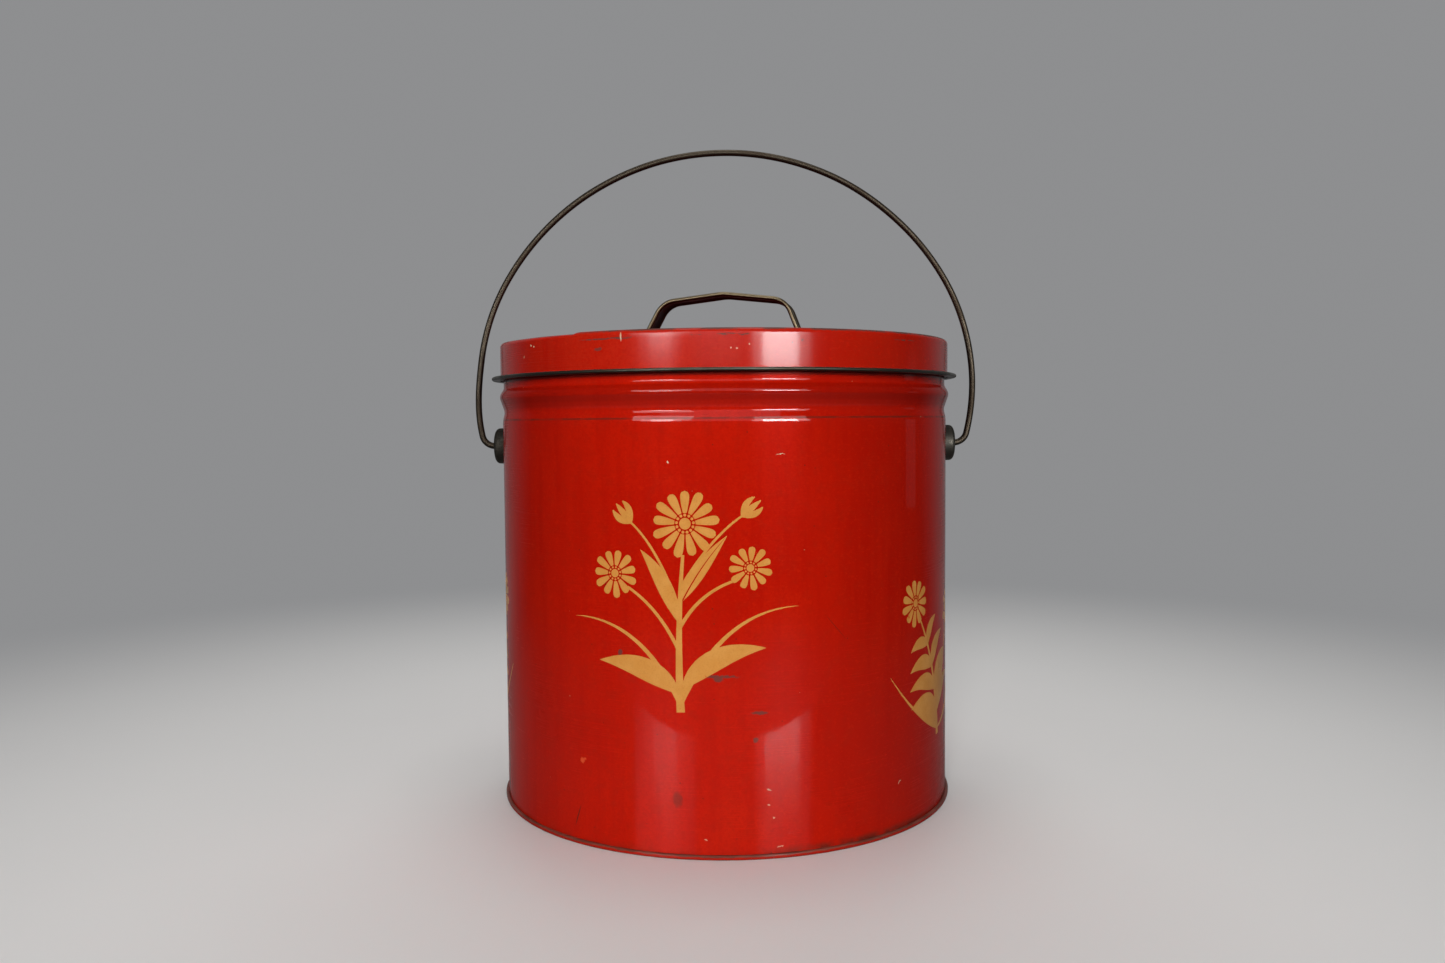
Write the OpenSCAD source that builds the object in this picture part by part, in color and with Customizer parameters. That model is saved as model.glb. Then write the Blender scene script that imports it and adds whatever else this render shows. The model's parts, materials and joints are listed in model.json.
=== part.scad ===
// Lidded tin pail with a wire bail and a strap handle on its lid.
// Millimetres, +Z up. The origin is on the table, under the middle of the pail.
// The bail swings about the X axis, so its two ears are on the left and the right.

/* [Pail] */
// Outside diameter of the straight wall
pail_d = 220; // [200:1:260]
// Height of the mouth above the table
pail_h = 220.6; // [190:0.1:280]
// Thickness of the tinplate
sheet_t = 0.35; // [0.3:0.05:0.45]
// Gap left between sheets that are folded or rolled together
fold_gap = 0.05; // [0.03:0.01:0.08]
// Width of the lap seam at the back of the wall and of the lid's skirt
lap_w = 6; // [4:0.5:10]

/* [Foot seam] */
// Height of the folded seam that joins the bottom to the wall
seam_h = 2; // [1.8:0.1:4]
// Rounding of the foot seam's outer corners
seam_round = 0.6; // [0.4:0.05:0.65]
// Height of the bottom panel above the table
bottom_lift = 4; // [3:0.5:8]

/* [Shoulder] */
// Length of the neck, from the mouth down
neck_len = 20.9; // [20:0.1:26]
// How far the neck stands inside the wall
neck_in = 0.5; // [0.4:0.1:1.6]
// Height from the bead's crest up to the neck
bead_top_len = 3.7; // [3:0.1:6]
// How far the bead stands out from the wall
bead_out = 1.6; // [0.8:0.1:2.4]
// Height from the groove's floor up to the bead's crest
bead_foot_len = 7.7; // [5:0.1:9]
// Depth of the groove below the wall's face
groove_in = 1; // [0.5:0.1:2.4]
// Height from the straight wall up to the groove's floor
groove_foot_len = 3.9; // [3:0.1:8]
// Length over which each crease of the shoulder is rounded, to either side of it
crease_reach = 1; // [0.3:0.1:1.2]

/* [Mouth] */
// Diameter of the wire in the rolled edge of the mouth
mouth_wire_d = 1.6; // [1.3:0.1:2]
// Slit left between the rolled edge and the neck
mouth_slit = 0.6; // [0.4:0.1:0.8]

/* [Lid] */
// How far the skirt stands out from the wall
lid_out = 0.6; // [0.4:0.1:1]
// Clearance between the lid and the rolled edge it slips over
lid_slip = 0.3; // [0.2:0.05:0.5]
// Gap between the lid's rim and the mouth that it rests on
lid_seat_gap = 0.25; // [0.1:0.05:0.4]
// Height from the middle of the hoop to the top of the lid
skirt_h = 17.2; // [15:0.1:19]
// Corner radius at the top of the skirt
lid_corner_r = 2; // [1.6:0.1:3]
// Width of the skirt's edge that is turned in over the top panel
lip_w = 4; // [3.2:0.1:6]
// Length of the top panel's collar inside the skirt
collar_len = 3; // [2:0.5:5]
// Width of the raised rim round the top panel
top_rim_w = 11; // [8:0.5:20]
// Depth of the top panel below its rim
top_recess = 3; // [2:0.5:5]

/* [Hoop] */
// How far the hoop stands out from the skirt
hoop_out = 4.2; // [3.6:0.1:6]
// Height of the hoop
hoop_h = 1.6; // [1.4:0.1:2.4]
// Depth of metal between the skirt's flange and the hoop's outer edge
hoop_back = 1.3; // [1:0.1:1.6]

/* [Lid handle] */
// Width of the strap with its rolled edges
handle_w = 18; // [14:0.5:24]
// Thickness of the strap
strap_t = 1; // [0.8:0.1:1.4]
// Diameter of the strap's rolled edges
edge_d = 2.2; // [1.8:0.1:2.8]
// Distance between the two rivets
rivet_span = 100; // [90:1:120]
// Height of the strap's crown above the top panel
handle_rise = 29.1; // [25:0.1:36]
// Lean of the legs from upright
leg_lean = 25; // [15:1:32]
// Slope of the strap from its crown to its shoulders
crown_slope = 6.5; // [4:0.5:11]
// Bend radius at the crown
crown_r = 20; // [12:1:30]
// Bend radius at the shoulders
shoulder_r = 11; // [7:0.5:14]
// Bend radius at the heels
heel_r = 3; // [2.5:0.5:5]
// Length of each foot from its heel to its rivet
foot_len = 6; // [4.5:0.5:8]
// Turn of the lid and its handle on the pail
handle_turn = -9.5; // [-90:0.5:90]

/* [Handle rivets] */
// Diameter of a rivet's shank
rivet_d = 3.2; // [2.4:0.1:4]
// Diameter of a rivet's domed head
rivet_head_d = 6.4; // [5:0.1:7.5]
// Height of a rivet's domed head
rivet_head_h = 1.6; // [1:0.1:2.4]
// Diameter of a rivet's hammered tail
rivet_tail_d = 5; // [4.4:0.1:6]
// Height of a rivet's hammered tail
rivet_tail_h = 0.8; // [0.5:0.1:1.4]
// Clearance round a rivet's shank
rivet_fit = 0.05; // [0.03:0.01:0.1]
// Diameter of the washer under the lid
washer_d = 8; // [7:0.5:11]
// Thickness of the washer under the lid
washer_t = 0.6; // [0.4:0.1:1]

/* [Bail] */
// Diameter of the wire
bail_wire_d = 3.1; // [2.2:0.1:3.4]
// Height of the wire's crown above the pivot
bail_rise = 145.4; // [138:0.1:165]
// How much wider the crown's arc is than the arcs beside it
crown_extra = 25; // [15:1:35]
// Angle from the crown at which the narrower arcs begin
crown_half_angle = 60; // [50:1:70]
// Bend radius where the wire turns in to the ears
hook_r = 6.5; // [5:0.1:8]
// Straight length of wire outside each ear
pin_out = 0.6; // [0.4:0.1:3]
// Diameter of the upset head inside each ear
pin_head_d = 5; // [4.2:0.1:7]
// Thickness of the upset head inside each ear
pin_head_t = 1; // [0.6:0.1:1.6]
// Play of the upset head behind the ear's face
pin_play = 0.15; // [0.1:0.05:0.4]

/* [Ears] */
// Diameter of each ear
ear_d = 17.8; // [14:0.1:22]
// How far each ear stands out from the wall
ear_out = 5.3; // [4.2:0.1:7]
// Thickness of each ear's metal
ear_t = 0.8; // [0.6:0.1:1.1]
// Rounding of each ear's outer edge
ear_round = 2.2; // [1.5:0.1:3]
// Depth of the pivot below the mouth
ear_drop = 48.9; // [48:0.1:70]
// Running clearance round the wire in each ear
ear_fit = 0.08; // [0.03:0.01:0.1]

/* [Hidden] */
$fn = 96;

// Steps in each crease of the shoulder and in each rounded corner
curve_steps = 6;
// Overlap that makes a cut run clear of a face
cut = 1;
// Angle left between two arcs of wire, inside the ball that joins them
joint_gap = 0.02;
// How much the ball stands out from the wire
joint_swell = 0.03;
// Share of each leg of the strap that has full rolled edges
edge_share = 0.5;
// Turn round each foot's end, up to its small flat tip
foot_end_angle = 82;

wall_r = pail_d / 2;

// Foot seam, from the inside out: bottom's chuck wall, wall, bottom's hook, wall's hook, bottom
chuck_or = wall_r - sheet_t - fold_gap;
chuck_ir = chuck_or - sheet_t;
cover_hook_ir = wall_r + fold_gap;
wall_hook_ir = cover_hook_ir + sheet_t + fold_gap;
wall_hook_or = wall_hook_ir + sheet_t;
seam_or = wall_hook_or + fold_gap + sheet_t;
wall_foot_z = sheet_t + fold_gap;
wall_hook_top = seam_h - sheet_t - fold_gap;
cover_hook_z = wall_foot_z + sheet_t + fold_gap;

// Shoulder, from the neck down
neck_r = wall_r - neck_in;
neck_z = pail_h - neck_len;
bead_z = neck_z - bead_top_len;
groove_z = bead_z - bead_foot_len;
wall_top_z = groove_z - groove_foot_len;

// Lid, placed on the mouth
lid_or = wall_r + lid_out;
lid_z = pail_h + lid_seat_gap + 2 * sheet_t + fold_gap;
corner_z = lid_z - lid_corner_r;
collar_or = lid_or - sheet_t - fold_gap;
collar_ir = collar_or - sheet_t;
rim_z = lid_z - sheet_t - fold_gap;
panel_z = rim_z - top_recess;
panel_r = lid_or - top_rim_w - top_recess;
hoop_z = lid_z - skirt_h;
flange_or = lid_or + hoop_out - hoop_back - fold_gap;

// Rolled edge of the mouth, inside the lid's collar
roll_ir = mouth_wire_d / 2 + fold_gap;
roll_or = roll_ir + sheet_t;
roll_r = collar_ir - lid_slip - roll_or;
roll_z = pail_h - roll_or;

// Strap handle: the straight stretches follow from its span and its rise
leg_rise = 90 - leg_lean;
strap_w = handle_w - edge_d;
strap_run = rivet_span / 2 - foot_len - heel_r * sin(leg_rise)
    - shoulder_r * (sin(leg_rise) - sin(crown_slope)) - crown_r * sin(crown_slope);
strap_climb = handle_rise - edge_d / 2 - strap_t / 2 - heel_r * (1 - cos(leg_rise))
    - shoulder_r * (cos(crown_slope) - cos(leg_rise)) - crown_r * (1 - cos(crown_slope));
leg_len = (strap_climb * cos(crown_slope) - strap_run * sin(crown_slope)) / sin(leg_rise - crown_slope);
brow_len = (strap_run * sin(leg_rise) - strap_climb * cos(leg_rise)) / sin(leg_rise - crown_slope);

// Bail: its arcs follow from the place of the ears and its rise
pivot_z = pail_h - ear_drop;
pin_r = bail_wire_d / 2;
hook_x = wall_r + ear_out + pin_out;
arc_height = bail_rise - crown_extra * (1 - cos(crown_half_angle)) - 2 * hook_r;
arc_reach = hook_x - crown_extra * sin(crown_half_angle);
side_r = (arc_height * arc_height + arc_reach * arc_reach) / (2 * arc_height) + hook_r;
crown_arc_r = side_r + crown_extra;
side_lean = acos(arc_reach / (side_r - hook_r));
pin_head_x = wall_r + ear_out - ear_t - pin_play;

// Points of a line that turns at the point p on its way from the point a to the point b
function crease(a, p, b) = let (
        from = (a - p) / norm(a - p) * crease_reach,
        to = (b - p) / norm(b - p) * crease_reach
    ) [
    for (i = [0:curve_steps])
        let (s = i / curve_steps)
        p + from * (1 - s) * (1 - s) + to * s * s
];

// Points of an arc of radius r about the point c
function arc(c, r, from, to) = [
    for (i = [0:curve_steps])
        let (a = from + (to - from) * i / curve_steps)
        [c[0] + r * cos(a), c[1] + r * sin(a)]
];

// Points in the opposite order
function reversed(points) = [for (i = [len(points) - 1:-1:0]) points[i]];

// Rectangle in a section, between two radii and two heights
module band(r0, r1, z0, z1) {
    translate([r0, z0])
        square([r1 - r0, z1 - z0]);
}

// Lap seam of a sheet at the back, one sheet proud of the radius r
module lap_strip(r, z0, z1) {
    intersection() {
        translate([0, 0, z0])
            difference() {
                cylinder(r = r + sheet_t, h = z1 - z0);
                translate([0, 0, -cut])
                    cylinder(r = r - sheet_t / 2, h = z1 - z0 + 2 * cut);
            }
        translate([-lap_w / 2, 0, z0])
            cube([lap_w, r + 2 * cut, z1 - z0]);
    }
}

// Wall of the pail with its foot hook, groove, bead, neck and rolled mouth
module body_wall() {
    foot = [wall_r, wall_foot_z];
    wall_top = [wall_r, wall_top_z];
    groove = [wall_r - groove_in, groove_z];
    bead = [wall_r + bead_out, bead_z];
    neck = [neck_r, neck_z];
    mouth = [neck_r, roll_z];
    outer = concat(
        [foot],
        crease(foot, wall_top, groove),
        crease(wall_top, groove, bead),
        crease(groove, bead, neck),
        crease(bead, neck, mouth),
        [mouth]
    );
    inner = [for (p = reversed(outer)) [p[0] - sheet_t, p[1]]];
    color("#b3200f") {
        rotate_extrude()
            difference() {
                union() {
                    polygon(concat(outer, inner));
                    band(wall_r - sheet_t, wall_hook_or, wall_foot_z, wall_foot_z + sheet_t);
                    band(wall_hook_ir, wall_hook_or, wall_foot_z, wall_hook_top);
                    translate([roll_r, roll_z])
                        circle(r = roll_or);
                }
                translate([roll_r, roll_z])
                    circle(r = roll_ir);
                band(roll_r - roll_or - cut, roll_r, roll_z - mouth_slit, roll_z);
            }
        lap_strip(wall_r, seam_h + fold_gap, wall_top_z);
    }
}

// Quarter-round cut at an outer corner of the foot seam, above or below it
module seam_corner(z, side) {
    translate([seam_or - seam_round, z - side * seam_round])
        scale([1, side])
            difference() {
                square(seam_round + cut);
                circle(r = seam_round);
            }
}

// Raised bottom, folded with the wall's foot into a seam
module bottom_panel() {
    color("#a51d0d")
        rotate_extrude()
            difference() {
                union() {
                    band(0, chuck_or, bottom_lift, bottom_lift + sheet_t);
                    band(chuck_ir, chuck_or, 0, bottom_lift + sheet_t);
                    band(chuck_ir, seam_or, 0, sheet_t);
                    band(seam_or - sheet_t, seam_or, 0, seam_h);
                    band(cover_hook_ir, seam_or, seam_h - sheet_t, seam_h);
                    band(cover_hook_ir, cover_hook_ir + sheet_t, cover_hook_z, seam_h);
                }
                seam_corner(0, -1);
                seam_corner(seam_h, 1);
            }
}

// Wire that stiffens the rolled mouth
module mouth_wire() {
    color("#7d7b76")
        rotate_extrude()
            translate([roll_r, roll_z])
                circle(d = mouth_wire_d);
}

// Stamped cup on the wall with a bore for the bail
module ear() {
    side_z = ear_out - ear_round;
    ear_r = ear_d / 2;
    round_r = ear_r - ear_round;
    section = concat(
        [[ear_r, -cut]],
        arc([round_r, side_z], ear_round, 0, 90),
        [[pin_r + ear_fit, ear_out], [pin_r + ear_fit, ear_out - ear_t]],
        arc([round_r, side_z], ear_round - ear_t, 90, 0),
        [[ear_r - ear_t, -cut]]
    );
    difference() {
        translate([wall_r, 0, pivot_z])
            rotate([0, 90, 0])
                rotate_extrude()
                    polygon(section);
        translate([0, 0, pivot_z - ear_d])
            cylinder(r = wall_r, h = 2 * ear_d);
    }
}

module right_ear() {
    color("#3a342e")
        ear();
}

module left_ear() {
    color("#3a342e")
        rotate([0, 0, 180])
            ear();
}

// Straight wire of length l along +X
module wire_run(l, r) {
    rotate([0, 90, 0])
        cylinder(r = r, h = l);
}

// Arc of wire in the XZ plane about the origin, angles from +X towards +Z
module wire_arc(r, from, to) {
    rotate([90, 0, 0])
        rotate([0, 0, from])
            rotate_extrude(angle = to - from)
                translate([r, 0])
                    circle(r = pin_r);
}

// Ball in which two arcs of wire meet
module wire_joint() {
    sphere(r = pin_r + joint_swell);
}

// Wire bail: crown, two narrower side arcs, two hooks and two headed pins
module bail() {
    crown_z = pivot_z + bail_rise - crown_arc_r;
    side_x = crown_extra * sin(crown_half_angle);
    side_z = crown_z + crown_extra * cos(crown_half_angle);
    brow = 90 - crown_half_angle;
    color("#34302c") {
        translate([0, 0, crown_z])
            wire_arc(crown_arc_r, brow + joint_gap, 180 - brow - joint_gap);
        for (s = [0, 1])
            mirror([s, 0, 0]) {
                translate([side_x, 0, side_z]) {
                    wire_arc(side_r, joint_gap - side_lean, brow - joint_gap);
                    rotate([0, -brow, 0])
                        translate([side_r, 0, 0])
                            wire_joint();
                    rotate([0, side_lean, 0])
                        translate([side_r, 0, 0])
                            wire_joint();
                }
                translate([hook_x, 0, pivot_z + hook_r])
                    wire_arc(hook_r, -90, -side_lean - joint_gap);
                translate([pin_head_x - pin_head_t, 0, pivot_z]) {
                    wire_run(hook_x - pin_head_x + pin_head_t, pin_r);
                    wire_run(pin_head_t, pin_head_d / 2);
                }
            }
    }
}

// Places a child at each rivet, on the top panel
module at_rivets() {
    for (s = [-1, 1])
        rotate([0, 0, handle_turn])
            translate([s * rivet_span / 2, 0, panel_z])
                children();
}

// Recessed top of the lid with a collar inside the skirt and two rivet holes
module lid_top() {
    step = sheet_t * tan(22.5);
    corner = [lid_or - lid_corner_r, corner_z];
    section = concat(
        [[0, panel_z], [panel_r, panel_z], [panel_r + top_recess, rim_z]],
        arc(corner, collar_or - corner[0], 90, 0),
        [[collar_or, corner_z - collar_len], [collar_ir, corner_z - collar_len]],
        arc(corner, collar_ir - corner[0], 0, 90),
        [[panel_r + top_recess + step, rim_z - sheet_t], [panel_r + step, panel_z - sheet_t]],
        [[0, panel_z - sheet_t]]
    );
    color("#a51d0d")
        difference() {
            rotate_extrude()
                polygon(section);
            at_rivets()
                translate([0, 0, -sheet_t - cut])
                    cylinder(d = rivet_d + 2 * rivet_fit, h = sheet_t + 2 * cut);
        }
}

// Skirt of the lid: lip turned in at the top, flange turned out at the foot
module lid_skirt() {
    corner = [lid_or - lid_corner_r, corner_z];
    flange_z = hoop_z - sheet_t / 2;
    section = concat(
        [[flange_or, flange_z], [flange_or, flange_z + sheet_t], [lid_or, flange_z + sheet_t]],
        arc(corner, lid_corner_r, 0, 90),
        [[lid_or - lip_w, lid_z], [lid_or - lip_w, lid_z - sheet_t]],
        arc(corner, lid_corner_r - sheet_t, 90, 0),
        [[lid_or - sheet_t, flange_z]]
    );
    color("#a51d0d") {
        rotate_extrude()
            polygon(section);
        rotate([0, 0, handle_turn])
            lap_strip(lid_or, hoop_z + hoop_h / 2 + fold_gap, corner_z);
    }
}

// Bare hoop with a rounded edge, closed over the skirt's flange
module lid_hoop() {
    end_r = lid_or + hoop_out - hoop_h / 2;
    slot_h = sheet_t + 2 * fold_gap;
    color("#2b2019")
        rotate_extrude()
            difference() {
                union() {
                    band(lid_or + fold_gap, end_r, hoop_z - hoop_h / 2, hoop_z + hoop_h / 2);
                    translate([end_r, hoop_z])
                        circle(d = hoop_h);
                }
                band(lid_or - cut, flange_or + fold_gap, hoop_z - slot_h / 2, hoop_z + slot_h / 2);
            }
}

// Stations along half of the strap, outwards from the crown's middle: x, height, tilt of the strap,
// half of its width and radius of its edges
function strap_stations() = let (
        brow_x = crown_r * sin(crown_slope),
        brow_z = -crown_r * (1 - cos(crown_slope)),
        bend_x = brow_x + brow_len * cos(crown_slope),
        bend_z = brow_z - brow_len * sin(crown_slope),
        leg_x = bend_x + shoulder_r * (sin(leg_rise) - sin(crown_slope)),
        leg_z = bend_z - shoulder_r * (cos(crown_slope) - cos(leg_rise)),
        heel_x = rivet_span / 2 - foot_len,
        heel_z = strap_t / 2 + edge_d / 2 - handle_rise,
        rolled = [handle_w / 2, edge_d / 2],
        plain = [strap_w / 2, strap_t / 2]
    ) concat(
        [for (i = [0:2]) let (a = crown_slope * i / 2)
            concat([crown_r * sin(a), -crown_r * (1 - cos(a)), a], rolled)],
        [for (i = [0:curve_steps]) let (a = crown_slope + (leg_rise - crown_slope) * i / curve_steps)
            concat([bend_x + shoulder_r * (sin(a) - sin(crown_slope)),
                bend_z - shoulder_r * (cos(crown_slope) - cos(a)), a], rolled)],
        [concat([leg_x + leg_len * cos(leg_rise) * edge_share,
            leg_z - leg_len * sin(leg_rise) * edge_share, leg_rise], rolled)],
        [for (i = [0:curve_steps]) let (a = leg_rise * (1 - i / curve_steps))
            concat([heel_x - heel_r * sin(a), heel_z + heel_r * (1 - cos(a)), a], plain)],
        [for (i = [0:curve_steps]) let (a = foot_end_angle * i / curve_steps)
            [heel_x + foot_len + plain[0] * sin(a), heel_z, 0, plain[0] * cos(a), plain[1]]]
    );

// Outline of the strap at a station, as points across the strap and square to it
function strap_outline(w, r) = let (open = asin(min(1, strap_t / 2 / r)), n = curve_steps)
    concat(
        [for (i = [0:n]) let (a = (180 - open) * (2 * i / n - 1)) [w - r + r * cos(a), r * sin(a)]],
        [for (i = [0:n]) let (a = (180 - open) * (1 - 2 * i / n)) [r - w - r * cos(a), r * sin(a)]]
    );

// Strap handle on the lid: one outline swept from foot to foot, with two rivet holes
module lid_handle() {
    half = strap_stations();
    other = [for (i = [len(half) - 1:-1:1]) let (h = half[i]) [-h[0], h[1], -h[2], h[3], h[4]]];
    stations = concat(other, half);
    rings = [for (h = stations) [for (p = strap_outline(h[3], h[4]))
        [h[0] + p[1] * sin(h[2]), p[0], h[1] + p[1] * cos(h[2])]]];
    n = len(rings[0]);
    last = n * (len(rings) - 1);
    sides = [for (k = [0:len(rings) - 2]) for (i = [0:n - 1]) for (t = [0, 1])
        let (a = k * n + i, b = k * n + (i + 1) % n)
        t == 0 ? [a, b, b + n] : [a, b + n, a + n]];
    ends = [[for (i = [n - 1:-1:0]) i], [for (i = [0:n - 1]) last + i]];
    color("#6d655a")
        difference() {
            rotate([0, 0, handle_turn])
                translate([0, 0, panel_z + handle_rise - edge_d / 2])
                    polyhedron(points = [for (r = rings) for (p = r) p], faces = concat(sides, ends));
            at_rivets()
                translate([0, 0, -cut])
                    cylinder(d = rivet_d + 2 * rivet_fit, h = strap_t + 2 * cut);
        }
}

// Two rivets through the strap's feet, the top panel and the washers
module handle_rivets() {
    under = sheet_t + washer_t;
    dome_r = (rivet_head_d * rivet_head_d / 4 + rivet_head_h * rivet_head_h) / (2 * rivet_head_h);
    color("#4a443c")
        at_rivets() {
            translate([0, 0, -under - rivet_tail_h])
                cylinder(d = rivet_tail_d, h = rivet_tail_h, $fn = 48);
            translate([0, 0, -under - rivet_tail_h / 2])
                cylinder(d = rivet_d, h = under + strap_t + rivet_tail_h, $fn = 48);
            translate([0, 0, strap_t])
                intersection() {
                    translate([0, 0, rivet_head_h - dome_r])
                        sphere(r = dome_r, $fn = 48);
                    cylinder(d = rivet_head_d + cut, h = rivet_head_h + cut, $fn = 48);
                }
        }
}

// Two washers under the lid
module rivet_washers() {
    color("#7d7b76")
        at_rivets()
            translate([0, 0, -sheet_t - washer_t])
                difference() {
                    cylinder(d = washer_d, h = washer_t, $fn = 48);
                    translate([0, 0, -cut])
                        cylinder(d = rivet_d + 2 * rivet_fit, h = washer_t + 2 * cut, $fn = 48);
                }
}

body_wall();
bottom_panel();
mouth_wire();
left_ear();
right_ear();
bail();
lid_top();
lid_skirt();
lid_hoop();
lid_handle();
handle_rivets();
rivet_washers();
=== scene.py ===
"""Looks of a red tin pail with a slip lid, a strap handle and a wire bail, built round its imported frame.

Sizes are in millimetres and make_piece() turns them into metres. The pail stands on the origin, +Z is up,
the camera looks along +Y, and the bail swings about X. Angles round the pail start at the front and grow
towards +X.
"""

import json
import math

import bmesh
import bpy
from mathutils import Matrix, Vector, geometry, noise

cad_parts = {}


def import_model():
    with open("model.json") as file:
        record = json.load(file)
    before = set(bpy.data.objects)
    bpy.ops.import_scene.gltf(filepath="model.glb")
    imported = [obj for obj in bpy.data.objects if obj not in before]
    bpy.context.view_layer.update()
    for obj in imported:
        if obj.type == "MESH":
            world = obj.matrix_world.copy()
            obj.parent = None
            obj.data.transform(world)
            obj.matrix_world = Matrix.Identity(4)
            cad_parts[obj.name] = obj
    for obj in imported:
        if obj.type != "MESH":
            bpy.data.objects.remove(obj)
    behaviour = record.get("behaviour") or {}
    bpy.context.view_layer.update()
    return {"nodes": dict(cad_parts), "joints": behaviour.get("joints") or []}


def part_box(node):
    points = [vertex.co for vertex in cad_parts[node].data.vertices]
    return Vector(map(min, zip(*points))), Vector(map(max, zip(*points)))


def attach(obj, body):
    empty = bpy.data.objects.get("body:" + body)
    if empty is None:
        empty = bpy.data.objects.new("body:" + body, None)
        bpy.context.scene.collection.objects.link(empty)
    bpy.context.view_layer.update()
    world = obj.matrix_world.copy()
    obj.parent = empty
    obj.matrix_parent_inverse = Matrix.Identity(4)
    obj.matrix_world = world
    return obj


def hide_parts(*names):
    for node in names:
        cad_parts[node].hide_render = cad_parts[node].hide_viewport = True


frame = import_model()

MM = 0.001


def cad_low(node):
    """Lowest corner of a CAD node, in millimetres."""
    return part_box(node)[0] / MM


def cad_high(node):
    """Highest corner of a CAD node, in millimetres."""
    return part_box(node)[1] / MM


def cad_size(node):
    return cad_high(node) - cad_low(node)


def cad_middle(node):
    return (cad_high(node) + cad_low(node)) / 2


# Tinplate and the folds in it
SHEET = 0.35
FOLD_GAP = 0.05
LAP_W = 6.0
LAP_SINK = 0.1

# Shoulder of the pail, from the neck down, and how far each of its creases reaches
NECK_IN = 0.5
NECK_LEN = 20.9
NECK_FLARE = 0.15
BEAD_OUT = 1.6
BEAD_TOP_LEN = 3.7
BEAD_FOOT_LEN = 7.7
GROOVE_IN = 1.0
GROOVE_FOOT_LEN = 3.9
WALL_TOP_REACH = 1.7
GROOVE_REACH = 1.5
BEAD_REACH = 1.9
NECK_REACH = 0.9
wall_r = cad_high("body_wall").x - BEAD_OUT
mouth_z = cad_high("body_wall").z
neck_r = wall_r - NECK_IN
neck_z = mouth_z - NECK_LEN
bead_z = neck_z - BEAD_TOP_LEN
groove_z = bead_z - BEAD_FOOT_LEN
wall_top_z = groove_z - GROOVE_FOOT_LEN

# Rolled mouth, centred on the wire inside it
ROLL_R = 1.2
roll_r = cad_size("mouth_wire").x / 2 - cad_size("mouth_wire").z / 2
roll_z = cad_middle("mouth_wire").z

# Foot seam and raised bottom
SEAM_H = 2.0
SEAM_ROUND = 0.6
BOTTOM_LIFT = 4.0
seam_r = cad_high("bottom_panel").x
chuck_or = wall_r - SHEET - FOLD_GAP
chuck_ir = chuck_or - SHEET

# Lid: skirt with a lip turned in over a recessed top, and a hoop round its foot
LID_CORNER_R = 2.0
LIP_W = 4.0
COLLAR_LEN = 3.0
TOP_RIM_W = 11.0
TOP_RECESS = 3.0
TOP_BEND_R = 1.2
HOOP_OUT = 4.2
HOOP_WALL = 1.35
lid_z = cad_high("lid_skirt").z
hoop_r = cad_high("lid_hoop").x
hoop_z = cad_middle("lid_hoop").z
hoop_h = cad_size("lid_hoop").z
hoop_foot_z = hoop_z - hoop_h / 2
lid_r = hoop_r - HOOP_OUT
corner_z = lid_z - LID_CORNER_R
lid_corner = (lid_r - LID_CORNER_R, corner_z)
rim_z = lid_z - SHEET - FOLD_GAP
panel_z = rim_z - TOP_RECESS
panel_r = lid_r - TOP_RIM_W - TOP_RECESS
collar_r = lid_r - SHEET - FOLD_GAP

# Strap handle on the lid, and how far its crown leans to the right
HANDLE_TURN = math.radians(-9.5)
HANDLE_W = 18.0
STRAP_T = 1.0
EDGE_R = 1.1
FLAT_EDGE_R = STRAP_T / 2 * 1.02
RIVET_SPAN = 100.0
LEG_RISE = math.radians(65)
CROWN_SLOPE = math.radians(6.5)
CROWN_R = 20.0
SHOULDER_R = 11.0
HEEL_R = 3.0
FOOT_LEN = 6.0
HANDLE_PUSH = 1.1
handle_top = cad_high("lid_handle").z

# Bail and the ears that carry it. The bail's crown is pushed to the right, and its left side so inwards
CROWN_EXTRA = 25.0
CROWN_HALF = math.radians(60)
HOOK_R = 6.5
PIN_OUT = 0.6
PIN_HEAD_R = 2.5
PIN_HEAD_T = 1.0
PIN_PLAY = 0.15
BORE_PLAY = 0.08
EAR_T = 0.8
EAR_ROUND = 2.2
WIRE_R = 1.55
BAIL_PUSH = 1.05
bail_top = cad_high("bail").z - WIRE_R
ear_face = cad_high("right_ear").x
ear_r = cad_size("right_ear").z / 2
pivot_z = next(j for j in frame["joints"] if j["name"] == "bail_swing")["pos_m"][2] / MM

# Steps of a full turn, a corner, a crease, the wall, a flank between creases, and round an ear and the wire
TURN_STEPS = 360
CORNER_STEPS = 8
CREASE_STEPS = 12
WALL_STEPS = 44
FLANK_STEPS = 5
EAR_STEPS = 96
WIRE_STEPS = 32

# Camera of the photograph, fitted to the pail's rims: place in millimetres, and lens on a 36 mm sensor
CAMERA_PLACE = (0.0, -584.0, 182.7)
CAMERA_PITCH = math.radians(-2.93)
CAMERA_YAW = math.radians(0.11)
CAMERA_ROLL = math.radians(-0.45)
CAMERA_LENS = 28.76
SENSOR_W = 36.0


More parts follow.
